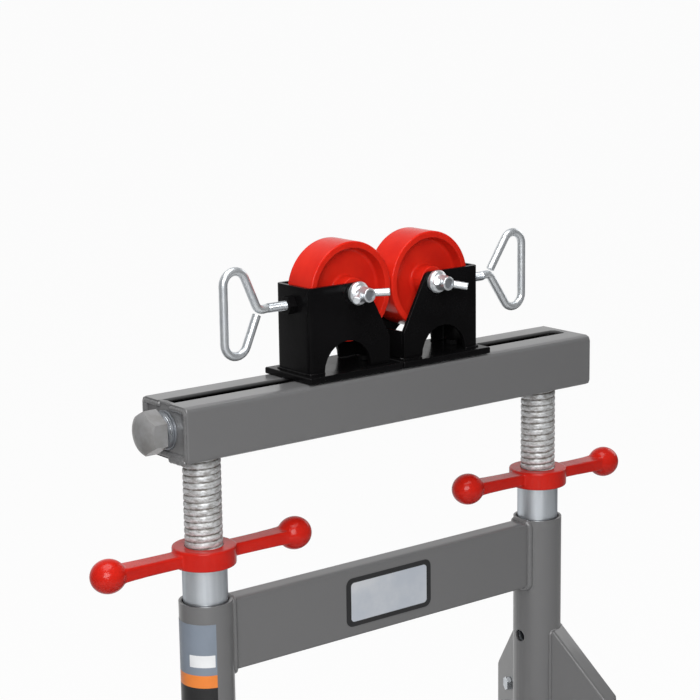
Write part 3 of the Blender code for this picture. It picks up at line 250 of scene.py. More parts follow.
def coated_material(name, slot, values, metallic=0.0, coat=0.0, specular=0.5, mask=None):
    """A Principled surface fed by the uneven coating group; a mask attribute marks where painted shade
    darkens a tube's inside.
    """
    material, nodes, links = new_material(name)
    material["slot"] = slot
    shader = nodes["Principled BSDF"]
    shader.inputs["Metallic"].default_value = metallic
    shader.inputs["Coat Weight"].default_value = coat
    shader.inputs["Coat Roughness"].default_value = 0.08
    shader.inputs["Specular IOR Level"].default_value = specular
    finish = nodes.new("ShaderNodeGroup")
    finish.node_tree = coating
    for label, value in values.items():
        finish.inputs[label].default_value = value
    links.new(finish.outputs["Colour"], shader.inputs["Base Color"])
    links.new(finish.outputs["Roughness"], shader.inputs["Roughness"])
    links.new(finish.outputs["Normal"], shader.inputs["Normal"])
    if mask:
        # Painted shade: where the mask is set, the colour goes near black and the gloss is dimmed.
        layer = nodes.new("ShaderNodeAttribute")
        layer.attribute_name = mask
        painted_shade_mix = nodes.new("ShaderNodeMix")
        painted_shade_mix.data_type = "RGBA"
        painted_shade_mix.inputs["B"].default_value = PAINTED_SHADE_COLOUR
        links.new(layer.outputs["Fac"], painted_shade_mix.inputs["Factor"])
        links.new(finish.outputs["Colour"], painted_shade_mix.inputs["A"])
        links.new(painted_shade_mix.outputs["Result"], shader.inputs["Base Color"])
        for label, gloss in (("Coat Weight", coat), ("Specular IOR Level", specular)):
            painted = nodes.new("ShaderNodeMapRange")
            painted.inputs["To Min"].default_value = gloss
            painted.inputs["To Max"].default_value = PAINTED_SHADE_GLOSS_SHARE * gloss
            links.new(layer.outputs["Fac"], painted.inputs["Value"])
            links.new(painted.outputs["Result"], shader.inputs[label])
    return material


GREY_VALUES = {
    "Colour": (0.1370, 0.1370, 0.1388, 1), "Second Colour": (0.1348, 0.1348, 0.1366, 1),
    "Patch Scale": 4.0, "Patch Detail": 0.0, "Roughness": 0.30, "Roughness Spread": 0.006,
    "Grain Scale": 380.0, "Grain Height": 0.00007}
grey_paint = coated_material("sprayed_grey", "grey_paint", GREY_VALUES, coat=0.25, mask="inside")


def leave_edit_mode():
    if bpy.context.object and bpy.context.object.mode != "OBJECT":
        bpy.ops.object.mode_set(mode="OBJECT")
    bpy.ops.object.select_all(action="DESELECT")


def select_only(piece):
    leave_edit_mode()
    piece.select_set(True)
    bpy.context.view_layer.objects.active = piece


def apply_modifiers(piece):
    select_only(piece)
    for modifier in list(piece.modifiers):
        bpy.ops.object.modifier_apply(modifier=modifier.name)


def soften_edges(piece, width, segments=2, degrees=30.0):
    """Round the sharp edges, and let the flats keep their flat shading."""
    bevel = piece.modifiers.new("soft_edges", "BEVEL")
    bevel.width = width
    bevel.segments = segments
    bevel.limit_method = "ANGLE"
    bevel.angle_limit = math.radians(degrees)
    bevel.miter_outer = "MITER_ARC"
    apply_modifiers(piece)


def finish_piece(piece, material, body, nodes=(), degrees=35.0):
    """Shade, paint and place a piece on its body, in the CAD nodes' stead."""
    select_only(piece)
    bpy.ops.object.shade_smooth_by_angle(angle=math.radians(degrees))
    weighted = piece.modifiers.new("even_shading", "WEIGHTED_NORMAL")
    weighted.keep_sharp = True
    apply_modifiers(piece)
    piece.data.materials.clear()
    piece.data.materials.append(material)
    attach(piece, body)
    if nodes:
        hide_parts(*nodes)
    return piece


MERGE_REACH = 0.00002
FLAT_DEGREES = 0.6


def copy_node(node, label):
    """A merged copy of a CAD solid, without the cuts between its flat triangles."""
    leave_edit_mode()
    piece = frame["nodes"][node].copy()
    piece.data = piece.data.copy()
    piece.parent = None
    piece.name = label
    piece.matrix_world = Matrix.Identity(4)
    scene.collection.objects.link(piece)
    select_only(piece)
    bpy.ops.object.mode_set(mode="EDIT")
    bpy.ops.mesh.select_all(action="SELECT")
    bpy.ops.mesh.remove_doubles(threshold=MERGE_REACH)
    bpy.ops.mesh.customdata_custom_splitnormals_clear()
    bpy.ops.mesh.dissolve_limited(angle_limit=math.radians(FLAT_DEGREES))
    bpy.ops.object.mode_set(mode="OBJECT")
    return piece


def dress_node(node, material, width, segments=2):
    """A CAD solid with soft edges and its own finish."""
    piece = copy_node(node, f"{node}_finished")
    soften_edges(piece, width, segments)
    return finish_piece(piece, material, frame["nodes"][node]["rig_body"], [node])


def mark_painted_shade(piece, share):
    """Store how much painted shade each vertex gets, for the dark inside of a tube."""
    layer = piece.data.attributes.new("inside", "FLOAT", "POINT")
    for corner in piece.data.vertices:
        layer.data[corner.index].value = share(corner.co)


SIDES = ("left", "right")
CORNERS = ("front_left", "back_left", "front_right", "back_right")
POST_PLACES = {"left": -0.2515, "right": 0.2515}
POST_INSIDE = 0.0272
for side in SIDES:
    post = copy_node(f"post_{side}", f"post_{side}_finished")
    soften_edges(post, 0.0008)
    # Painted shade on the post's inner wall, in the gap round the inner tube.
    mark_painted_shade(post, lambda spot: float(math.hypot(spot.x - POST_PLACES[side], spot.y) < POST_INSIDE))
    finish_piece(post, grey_paint, "lower_frame", [f"post_{side}"])
dress_node("crossbar", grey_paint, 0.0008)
for corner in CORNERS:
    dress_node(f"leg_bracket_{corner}", grey_paint, 0.0006)
    dress_node(f"leg_{corner}", grey_paint, 0.0006)


# Inner tubes, height pins and leg bolts
# Plain zinc-plated tube, with the faint long streaks that drawing and plating leave. The pins
# through the posts and the bolts through the leg brackets are plated too, and duller.
zinc_plate = coated_material("dull_zinc", "zinc_plate", {
    "Colour": (0.60, 0.63, 0.66, 1), "Second Colour": (0.47, 0.50, 0.53, 1),
    "Patch Scale": 30.0, "Roughness": 0.30, "Roughness Spread": 0.16,
    "Grain Scale": 600.0, "Grain Height": 0.00006}, metallic=0.85)
streaked_zinc, nodes, links = new_material("streaked_zinc")
streaked_zinc["slot"] = "zinc_plate"
tube_place = nodes.new("ShaderNodeTexCoord")
stretch = nodes.new("ShaderNodeMapping")
stretch.inputs["Scale"].default_value = (1.0, 1.0, 0.06)
streaks = nodes.new("ShaderNodeTexNoise")
streaks.inputs["Scale"].default_value = 150.0
streaks.inputs["Detail"].default_value = 5.0
streak_tint = nodes.new("ShaderNodeMix")
streak_tint.data_type = "RGBA"
streak_tint.inputs["A"].default_value = (0.56, 0.60, 0.64, 1)
streak_tint.inputs["B"].default_value = (0.80, 0.84, 0.88, 1)
streak_rough = nodes.new("ShaderNodeMapRange")
streak_rough.inputs["To Min"].default_value = 0.26
streak_rough.inputs["To Max"].default_value = 0.46
shader = nodes["Principled BSDF"]
shader.inputs["Metallic"].default_value = 0.9
shader.inputs["Specular Tint"].default_value = (0.35, 0.36, 0.38, 1)
links.new(tube_place.outputs["Object"], stretch.inputs["Vector"])
links.new(stretch.outputs["Vector"], streaks.inputs["Vector"])
links.new(streaks.outputs["Fac"], streak_tint.inputs["Factor"])
links.new(streak_tint.outputs["Result"], shader.inputs["Base Color"])
links.new(streaks.outputs["Fac"], streak_rough.inputs["Value"])
links.new(streak_rough.outputs["Result"], shader.inputs["Roughness"])
for side in SIDES:
    dress_node(f"inner_tube_{side}", streaked_zinc, 0.0005)
    dress_node(f"height_pin_{side}", zinc_plate, 0.0005)
for corner in CORNERS:
    for level in ("upper", "lower"):
        dress_node(f"leg_bolt_{corner}_{level}", zinc_plate, 0.0004)


# Spin handles
# One red-painted casting each: a threaded ring with two square arms that swell into balls and
# lean a little, as cast. Its edges are soft, and its paint is thick and glossy over a slightly
# rough skin.
red_paint = coated_material("casting_red", "red_paint", {
    "Colour": (0.52, 0.015, 0.008, 1), "Second Colour": (0.45, 0.011, 0.006, 1),
    "Patch Scale": 26.0, "Roughness": 0.21, "Roughness Spread": 0.10,
    "Grain Scale": 330.0, "Grain Height": 0.00022}, specular=0.22)


def use_tool(piece, tool, operation):
    """Join, cut or intersect a piece with another, which is used up."""
    boolean = piece.modifiers.new("cut", "BOOLEAN")
    boolean.operation = operation
    boolean.solver = "EXACT"
    boolean.object = tool
    apply_modifiers(piece)
    bpy.data.objects.remove(tool, do_unlink=True)


def join_pieces(piece, others):
    """Put the meshes of other pieces into the first one's."""
    select_only(piece)
    for other in others:
        other.select_set(True)
    bpy.ops.object.join()


def settle(piece):
    """Put a piece's place, turn and size into its mesh, as a CAD node has them."""
    select_only(piece)
    bpy.ops.object.transform_apply(location=True, rotation=True, scale=True)


def add_cylinder(name, radius, length, place, axis="Z", sides=64):
    leave_edit_mode()
    turns = {"X": (0, math.pi / 2, 0), "Y": (math.pi / 2, 0, 0), "Z": (0, 0, 0)}
    bpy.ops.mesh.primitive_cylinder_add(vertices=sides, radius=radius, depth=length, location=place,
                                        rotation=turns[axis])
    piece = bpy.context.object
    piece.name = name
    settle(piece)
    return piece


def cast_smooth(piece, voxel, passes):
    """Melt a welded-up shape into one casting with small fillets at its joints."""
    remesh = piece.modifiers.new("casting", "REMESH")
    remesh.mode = "VOXEL"
    remesh.voxel_size = voxel
    smooth = piece.modifiers.new("fettling", "SMOOTH")
    smooth.factor = 0.5
    smooth.iterations = passes
    apply_modifiers(piece)


HANDLE_DEGREES = {"left": -2.1, "right": 2.0}
HANDLE_DROOP = {"left": -0.7, "right": 2.1}
HUB_RADIUS = 0.0358
HUB_HEIGHT = 0.0216
HUB_RISE = 0.0113
ARM_SIZE = (0.2405, 0.0236, 0.0141)
ARM_SWELL = 0.18
SWELL_REACH = 0.120
BALL_PLACE = 0.12025
BALL_RADIUS = 0.0190
HANDLE_BORE = 0.02185
ROUND_DEGREES = 50.0
for side in SIDES:
    low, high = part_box(f"spin_handle_{side}")
    hub = Vector(((low[0] + high[0]) / 2, 0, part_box(f"inner_tube_{side}")[1][2] + HUB_RISE))
    handle = add_cylinder(f"spin_handle_{side}_cast", HUB_RADIUS, HUB_HEIGHT, hub)
    soften_edges(handle, 0.0012, 2)
    leave_edit_mode()
    bpy.ops.mesh.primitive_cube_add(size=1.0, location=(0, 0, 0), scale=ARM_SIZE)
    arm = bpy.context.object
    settle(arm)
    bpy.ops.object.mode_set(mode="EDIT")
    bpy.ops.mesh.select_all(action="SELECT")
    bpy.ops.mesh.subdivide(number_cuts=8)
    bpy.ops.object.mode_set(mode="OBJECT")
    for corner in arm.data.vertices:
        swell = 1.0 + ARM_SWELL * (abs(corner.co.x) / SWELL_REACH) ** 5
        corner.co.y *= swell
        corner.co.z *= swell
    soften_edges(arm, 0.0022, 3)
    arm.data.transform(Matrix.Translation(hub))
    balls = []
    for end in (-1, 1):
        leave_edit_mode()
        bpy.ops.mesh.primitive_uv_sphere_add(segments=48, ring_count=24, radius=BALL_RADIUS,
                                             scale=(1.08, 1, 1),
                                             location=hub + Vector((end * BALL_PLACE, 0, 0)))
        settle(bpy.context.object)
        balls.append(bpy.context.object)
    join_pieces(arm, balls)
    arm.data.transform(Matrix.Translation(hub) @ Matrix.Rotation(math.radians(HANDLE_DROOP[side]), 4, "Y")
                       @ Matrix.Translation(-hub))
    join_pieces(handle, [arm])
    cast_smooth(handle, voxel=0.0011, passes=6)
    bore = add_cylinder("handle_bore", HANDLE_BORE, 0.0400, hub)
    use_tool(handle, bore, "DIFFERENCE")
    turn = Matrix.Rotation(math.radians(HANDLE_DEGREES[side]), 4, "Z")
    handle.data.transform(Matrix.Translation(hub) @ turn @ Matrix.Translation(-hub))
    finish_piece(handle, red_paint, f"spin_handle_{side}", [f"spin_handle_{side}"], ROUND_DEGREES)


# Jack tubes
# Heavy tube with a rolled thread: broad round-backed ridges between narrow grooves, scuffed, with
# a colour that runs from light on the ridges' backs to darker and browner towards each groove's bottom.
screw_steel, nodes, links = new_material("jack_thread")
screw_steel["slot"] = "zinc_plate"
shader = nodes["Principled BSDF"]
shader.inputs["Metallic"].default_value = 0.45
thread_place = nodes.new("ShaderNodeTexCoord")
depth_layer = nodes.new("ShaderNodeAttribute")
depth_layer.attribute_name = "ridge"
flatten = nodes.new("ShaderNodeMapping")
flatten.inputs["Scale"].default_value = (1.0, 1.0, 2.4)
dirt = nodes.new("ShaderNodeTexNoise")
dirt.inputs["Scale"].default_value = 130.0
dirt.inputs["Detail"].default_value = 8.0
dirt.inputs["Roughness"].default_value = 0.68
scuffs = nodes.new("ShaderNodeMapRange")
scuffs.inputs["From Min"].default_value = 0.36
scuffs.inputs["From Max"].default_value = 0.60
scuffs.inputs["To Min"].default_value = -0.22
scuffs.inputs["To Max"].default_value = 0.46
# Colour and roughness follow the groove depth, darker and browner towards each groove's bottom, broken up
# by scuffs.
groove_depth_and_scuffs = nodes.new("ShaderNodeMath")
groove_depth_and_scuffs.operation = "MULTIPLY_ADD"
groove_depth_and_scuffs.inputs[1].default_value = 0.56
bright = nodes.new("ShaderNodeMapRange")
bright.inputs["From Min"].default_value = 0.10
bright.inputs["From Max"].default_value = 1.02
shade = nodes.new("ShaderNodeMix")
shade.data_type = "RGBA"
shade.inputs["A"].default_value = (0.200, 0.182, 0.162, 1)
shade.inputs["B"].default_value = (0.73, 0.745, 0.76, 1)
thread_rough = nodes.new("ShaderNodeMapRange")
thread_rough.inputs["To Min"].default_value = 0.66
thread_rough.inputs["To Max"].default_value = 0.46
scratch = nodes.new("ShaderNodeBump")
scratch.inputs["Distance"].default_value = 0.0004
links.new(thread_place.outputs["Object"], flatten.inputs["Vector"])
links.new(flatten.outputs["Vector"], dirt.inputs["Vector"])
links.new(dirt.outputs["Fac"], scuffs.inputs["Value"])
links.new(depth_layer.outputs["Fac"], groove_depth_and_scuffs.inputs[0])
links.new(scuffs.outputs["Result"], groove_depth_and_scuffs.inputs[2])
links.new(groove_depth_and_scuffs.outputs[0], bright.inputs["Value"])
links.new(bright.outputs["Result"], shade.inputs["Factor"])
links.new(shade.outputs["Result"], shader.inputs["Base Color"])
links.new(bright.outputs["Result"], thread_rough.inputs["Value"])
links.new(thread_rough.outputs["Result"], shader.inputs["Roughness"])
links.new(dirt.outputs["Fac"], scratch.inputs["Height"])
links.new(scratch.outputs["Normal"], shader.inputs["Normal"])


FINE_MERGE = 0.000002


def face_outward(piece):
    select_only(piece)
    bpy.ops.object.mode_set(mode="EDIT")
    bpy.ops.mesh.select_all(action="SELECT")
    bpy.ops.mesh.remove_doubles(threshold=FINE_MERGE)
    bpy.ops.mesh.normals_make_consistent(inside=False)
    bpy.ops.object.mode_set(mode="OBJECT")


def chain(name, points):
    """A single point extruded along the others, as the profile of a turned piece."""
    leave_edit_mode()
    bpy.ops.mesh.primitive_plane_add(size=0.001, location=points[0])
    piece = bpy.context.object
    piece.name = name
    settle(piece)
    bpy.ops.object.mode_set(mode="EDIT")
    bpy.ops.mesh.select_mode(type="VERT")
    bpy.ops.mesh.select_all(action="SELECT")
    bpy.ops.mesh.merge(type="CENTER")
    for before, after in zip(points, points[1:]):
        step = Vector(after) - Vector(before)
        bpy.ops.mesh.extrude_region_move(TRANSFORM_OT_translate={"value": step})
    bpy.ops.object.mode_set(mode="OBJECT")
    return piece


THREAD_PITCH = 0.0075
THREAD_STEPS = 72
GROOVE_REACH = 0.0198
RIDGE_RISE = 0.0013
JACK_BORE = 0.01595
THREAD_WAVE = ((0.0, 0.01972), (0.03, 0.01980), (0.07, 0.02022), (0.12, 0.02068), (0.19, 0.02104),
               (0.32, 0.02126), (0.50, 0.02132), (0.68, 0.02126), (0.81, 0.02104), (0.88, 0.02068),
               (0.93, 0.02022), (0.97, 0.01980), (1.0, 0.01972))


def roll_thread(name, length, wave, pitch, steps, place, left_hand=False):
    """Wind a wave profile of (share of the pitch, reach) up the Z axis, cut it and place it."""
    thread = chain(name, [(reach, 0, (share - 2) * pitch) for share, reach in wave])
    screw = thread.modifiers.new("screw", "SCREW")
    screw.axis = "Z"
    screw.screw_offset = pitch
    screw.iterations = math.ceil(length / pitch) + 3
    screw.steps = steps
    screw.render_steps = steps
    screw.use_merge_vertices = True
    screw.merge_threshold = MERGE_REACH
    apply_modifiers(thread)
    bpy.ops.object.mode_set(mode="EDIT")
    bpy.ops.mesh.select_all(action="SELECT")
    bpy.ops.mesh.remove_doubles(threshold=MERGE_REACH)
    for height in (0, length):
        bpy.ops.mesh.select_all(action="SELECT")
        bpy.ops.mesh.bisect(plane_co=(0, 0, height), plane_no=(0, 0, 1), use_fill=True,
                            clear_inner=height == 0, clear_outer=height > 0)
    bpy.ops.object.mode_set(mode="OBJECT")
    if left_hand:
        place = place @ Matrix.Scale(-1, 4, (1, 0, 0))
    thread.data.transform(place)
    face_outward(thread)
    return thread


for side in SIDES:
    low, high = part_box(f"jack_tube_{side}")
    foot = Vector(((low[0] + high[0]) / 2, 0, low[2]))
    jack = roll_thread(f"jack_tube_{side}_rolled", high[2] - low[2], THREAD_WAVE, THREAD_PITCH,
                       THREAD_STEPS, Matrix.Translation(foot))
    ridge = jack.data.attributes.new("ridge", "FLOAT", "POINT")
    for corner in jack.data.vertices:
        reach = math.hypot(corner.co.x - foot.x, corner.co.y)
        ridge.data[corner.index].value = max(0.0, min(1.0, (reach - GROOVE_REACH) / RIDGE_RISE))
    inside = add_cylinder("jack_bore", JACK_BORE, 0.70, foot)
    use_tool(jack, inside, "DIFFERENCE")
    finish_piece(jack, screw_steel, "lift", [f"jack_tube_{side}"], ROUND_DEGREES)


# Beam
# Rectangular tube with a slot along its top, ends closed by plates welded a little inside,
# all under thick soft-edged paint. Its drive end is rounded by the weld and the paint.
AXIS_HEIGHT = 0.75005
BEAM_SIDE = 0.0444
BEAM_FACE = 0.0312
CORNER_ACROSS = 0.0379
CORNER_HEIGHT = 0.0246
SLOT_SIDE = 0.0116
HOLLOW_SIDE = 0.0396
HOLLOW_TOP = 0.77795
SLOT_SHADE_TOP = 0.78075
beam = copy_node("beam", "beam_finished")
beam_low, beam_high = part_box("beam")
drive_end = beam.vertex_groups.new(name="drive_end")
thin_edges = beam.vertex_groups.new(name="thin_edges")
for corner in beam.data.vertices:
    across, height = abs(corner.co.y), abs(corner.co.z - AXIS_HEIGHT)
    rounded = across > CORNER_ACROSS and height > CORNER_HEIGHT
    outline = across > BEAM_SIDE or height > BEAM_FACE or rounded
    if outline and corner.co.x < beam_low.x + 0.0001 and across > SLOT_SIDE:
        drive_end.add([corner.index], 1.0, "REPLACE")
    if across < SLOT_SIDE or (outline and corner.co.x > beam_high.x - 0.0001):
        thin_edges.add([corner.index], 1.0, "REPLACE")
for group, width, segments in (("drive_end", 0.0034, 4), ("thin_edges", 0.0010, 2)):
    rounding = beam.modifiers.new(group, "BEVEL")
    rounding.width = width
    rounding.segments = segments
    rounding.limit_method = "VGROUP"
    rounding.vertex_group = group
apply_modifiers(beam)
# Painted shade: full inside the beam's hollow, and a quarter share on the walls of the slot.
mark_painted_shade(beam, lambda spot: 1.0 if abs(spot.y) < HOLLOW_SIDE and spot.z < HOLLOW_TOP
          else 0.25 if abs(spot.y) < SLOT_SIDE and spot.z < SLOT_SHADE_TOP else 0.0)
finish_piece(beam, grey_paint, "lift", ["beam"])
dress_node("beam_end_left", grey_paint, 0.0012, 3)
dress_node("beam_end_right", grey_paint, 0.0008)


# Lead screw, thrust washers and collar
# A steel bar whose hexagon drive head is turned to a dome and painted with the beam. Four
# plated washers are stacked between the head and the end plate, and a collar sits inside it.
# One half of the bar has a left-hand thread.
dark_steel = coated_material("oiled_steel", "dark_steel", {
    "Colour": (0.115, 0.110, 0.105, 1), "Second Colour": (0.075, 0.070, 0.066, 1),
    "Patch Scale": 60.0, "Roughness": 0.46, "Roughness Spread": 0.14,
    "Grain Scale": 800.0, "Grain Height": 0.00005}, metallic=0.85)


def turn_profile(name, profile, centre, axis, steps=64, closed=False):
    """Spin a profile of (place along the axis, reach) once round a line along X or Y."""
    along = {"X": Vector((1, 0, 0)), "Y": Vector((0, 1, 0))}[axis]
    points = [Vector(centre) + along * place + Vector((0, 0, reach)) for place, reach in profile]
    if closed:
        points.append(points[0])
    piece = chain(name, points)
    bpy.ops.object.mode_set(mode="EDIT")
    bpy.ops.mesh.select_all(action="SELECT")
    bpy.ops.mesh.remove_doubles(threshold=FINE_MERGE)
    bpy.ops.mesh.select_all(action="SELECT")
    bpy.ops.mesh.spin(steps=steps, angle=2 * math.pi, center=centre, axis=along)
    bpy.ops.object.mode_set(mode="OBJECT")
    face_outward(piece)
    return piece


WASHER_STEP = 0.0024
HEAD_EXTRA = 0.0103
HEAD_RADIUS = 0.02500
BAR_END = 0.2989
BAR_PITCH = 0.0040
head_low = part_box("lead_screw")[0].x - HEAD_EXTRA
head_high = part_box("thrust_washer_outer")[0].x - 3 * WASHER_STEP
leave_edit_mode()
bpy.ops.mesh.primitive_cylinder_add(vertices=6, radius=HEAD_RADIUS, depth=head_high - head_low,
                                    location=((head_low + head_high) / 2, 0, AXIS_HEIGHT),
                                    rotation=(0, math.pi / 2, 0))
head = bpy.context.object
head.name = "lead_screw_head"
settle(head)
head.data.transform(Matrix.Translation((0, 0, AXIS_HEIGHT)) @ Matrix.Rotation(math.pi / 6, 4, "X")
                    @ Matrix.Translation((0, 0, -AXIS_HEIGHT)))
dome = turn_profile("head_dome", [
    (head_low, 0), (head_low + 0.0003, 0.0070), (head_low + 0.0010, 0.0122), (head_low + 0.0020, 0.0163),
    (head_low + 0.0032, 0.0194), (head_low + 0.0043, 0.0214), (head_low + 0.0054, 0.0229),
    (head_low + 0.0067, 0.0243), (head_low + 0.0082, 0.0256), (head_high + 0.01, 0.0262),
    (head_high + 0.01, 0)], (0, 0, AXIS_HEIGHT), "X", 96)
use_tool(head, dome, "INTERSECT")
soften_edges(head, 0.0008, 3, 20.0)
# The head's grey is painted lighter than the beam's to stand for the light its dome catches; it is the
# same paint.
head_paint_painted_light = coated_material("head_grey_painted_light", "grey_paint", {
    "Colour": (0.240, 0.240, 0.243, 1), "Second Colour": (0.185, 0.182, 0.178, 1),
    "Patch Scale": 45.0, "Patch Detail": 3.0, "Roughness": 0.20, "Roughness Spread": 0.06,
    "Grain Scale": 260.0, "Grain Height": 0.00012}, specular=0.22)
finish_piece(head, head_paint_painted_light, "lead_screw", degrees=24.0)

worn_zinc = coated_material("worn_zinc", "zinc_plate", {
    "Colour": (0.34, 0.36, 0.39, 1), "Second Colour": (0.25, 0.26, 0.28, 1),
    "Patch Scale": 50.0, "Roughness": 0.36, "Roughness Spread": 0.10,
    "Grain Scale": 500.0, "Grain Height": 0.00002}, metallic=0.7)
SCREW_WAVE = ((0.0, 0.0105), (0.22, 0.0106), (0.36, 0.0124), (0.64, 0.0125), (0.78, 0.0106), (1.0, 0.0105))
for side, end in (("left", head_high + 0.0001), ("right", BAR_END)):
    way = 1 if end > 0 else -1
    place = Matrix.Translation((0, 0, AXIS_HEIGHT)) @ Matrix.Rotation(way * math.pi / 2, 4, "Y")
    bar = roll_thread(f"lead_screw_{side}_half", abs(end), SCREW_WAVE, BAR_PITCH, 24, place,
                      side == "left")
    finish_piece(bar, dark_steel, "lead_screw", ["lead_screw"], ROUND_DEGREES)

slimmer = (Matrix.Translation((0, 0, AXIS_HEIGHT)) @ Matrix.Diagonal((1.0, 0.91, 0.91, 1.0))
           @ Matrix.Translation((0, 0, -AXIS_HEIGHT)))
for count, metal in ((2, worn_zinc), (1, zinc_plate), (0, worn_zinc)):
    washer = copy_node("thrust_washer_outer", f"head_washer_{count}")
    washer.data.transform(Matrix.Translation((-count * WASHER_STEP, 0, 0)) @ slimmer)
    soften_edges(washer, 0.0005)
    finish_piece(washer, metal, "lead_screw", () if count else ["thrust_washer_outer"])
dress_node("thrust_washer_inner", worn_zinc, 0.0005)
dress_node("screw_collar", dark_steel, 0.0006)


# Roller carriages
# A flat base bolted through the slot to a nut block on the lead screw, and a fork bent from
# one plate with an arch at each foot and a low cross wall at its inner end. Base, bolts and
# fork are sprayed black, satin and slightly orange-peeled.
black_paint = coated_material("sprayed_black", "black_paint", {
    "Colour": (0.0026, 0.0025, 0.0027, 1), "Second Colour": (0.0040, 0.0038, 0.0042, 1),
    "Patch Scale": 14.0, "Roughness": 0.21, "Roughness Spread": 0.10,
    "Grain Scale": 300.0, "Grain Height": 0.00010}, specular=0.09)
SIDE_WAYS = {"left": -1, "right": 1}
CROSS_WALL_PLACE = 0.01265
CROSS_WALL_HEIGHT = 0.8052
CROSS_WALL_SIZE = (0.0036, 0.0540, 0.0312)
for side, way in SIDE_WAYS.items():
    dress_node(f"carriage_base_{side}", black_paint, 0.0008)
    dress_node(f"roller_fork_{side}", black_paint, 0.0011, 3)
    leave_edit_mode()
    bpy.ops.mesh.primitive_cube_add(size=1.0, scale=CROSS_WALL_SIZE,
                                    location=(way * CROSS_WALL_PLACE, 0, CROSS_WALL_HEIGHT))
    wall = bpy.context.object
    wall.name = f"fork_cross_wall_{side}"
    settle(wall)
    soften_edges(wall, 0.0007)
    finish_piece(wall, black_paint, f"carriage_{side}")
    dress_node(f"slide_nut_{side}", dark_steel, 0.0006)
    for place in ("inner", "outer"):
        dress_node(f"carriage_bolt_{side}_{place}", black_paint, 0.0004)


# Wheels
# Turned steel with a wide tread, a web set well inside the rim, and a long hub, all dipped in
# the same thick red paint, which fills the corners. Each runs on a bronze bush.
bronze = coated_material("bush_bronze", "bronze", {
    "Colour": (0.42, 0.25, 0.10, 1), "Second Colour": (0.30, 0.17, 0.07, 1),
    "Patch Scale": 80.0, "Roughness": 0.38, "Roughness Spread": 0.12,
    "Grain Scale": 700.0, "Grain Height": 0.00005}, metallic=0.9)
wheel_red = coated_material("wheel_red", "red_paint", {
    "Colour": (0.60, 0.020, 0.009, 1), "Second Colour": (0.53, 0.014, 0.007, 1),
    "Patch Scale": 26.0, "Roughness": 0.20, "Roughness Spread": 0.08,
    "Grain Scale": 330.0, "Grain Height": 0.00008}, specular=0.12)


def round_off(corners, steps=5):
    """Points along a path of (place, radius) corners, with an arc where a radius is given."""
    points = []
    for index, (place, radius) in enumerate(corners):
        place = Vector(place)
        if radius == 0:
            points.append(place)
            continue
        before = (Vector(corners[index - 1][0]) - place).normalized()
        after = (Vector(corners[(index + 1) % len(corners)][0]) - place).normalized()
        half = before.angle(after) / 2
        centre = place + (before + after).normalized() * radius / math.sin(half)
        start = place + before * radius / math.tan(half) - centre
        end = place + after * radius / math.tan(half) - centre
        for step in range(steps + 1):
            swing = Quaternion(start.cross(end), (math.pi - 2 * half) * step / steps)
            points.append(centre + swing @ start)
    return points


WHEEL_HEIGHT = 0.8752
WHEEL_PLACES = {"left": -0.0579, "right": 0.0579}
half_wheel = [((0.02245, 0.05715, 0), 0.0020), ((0.02245, 0.04955, 0), 0.0010),
              ((0.00795, 0.04765, 0), 0.0038), ((0.00795, 0.01650, 0), 0.0034),
              ((0.02615, 0.01650, 0), 0.0010), ((0.02615, 0.01030, 0), 0)]
other_half = [((-place[0], place[1], 0), radius) for place, radius in reversed(half_wheel)]
wheel_section = [(point.x, point.y) for point in round_off(half_wheel + other_half, 5)]
for side in SIDES:
    centre = (WHEEL_PLACES[side], 0, WHEEL_HEIGHT)
    wheel = turn_profile(f"wheel_{side}_turned", wheel_section, centre, "Y", 128, True)
    finish_piece(wheel, wheel_red, f"wheel_{side}", [f"wheel_{side}"])
    dress_node(f"wheel_bush_{side}", bronze, 0.0003)


# Axles, washers and wing nuts
# Each axle is a shouldered bolt with its hexagon head at the back and its thread in front,
# drawn up against a washer by a forged, brightly plated nut with a flange and two round wings.
BOLT_WAVE = ((0.0, 0.00490), (0.15, 0.00490), (0.5, 0.00560), (0.85, 0.00490), (1.0, 0.00490))
WING_DEGREES = {"left": 5.0, "right": -13.0}
SHANK_END = -0.0316
AXLE_THREAD_START = -0.0317
AXLE_THREAD_LENGTH = 0.0232
AXLE_PITCH = 0.0016
NUT_SEAT = -0.03445
NUT_BORE = 0.0058
WING_ROOT = (0.0030, -0.0070)
WING_TIP = (0.0242, -0.0272)
THREAD_DEGREES = 60.0
bright_zinc = coated_material("bright_zinc", "zinc_plate", {
    "Colour": (0.76, 0.79, 0.81, 1), "Second Colour": (0.62, 0.65, 0.68, 1),
    "Patch Scale": 45.0, "Roughness": 0.33, "Roughness Spread": 0.06,
    "Grain Scale": 500.0, "Grain Height": 0.00003}, metallic=0.80)
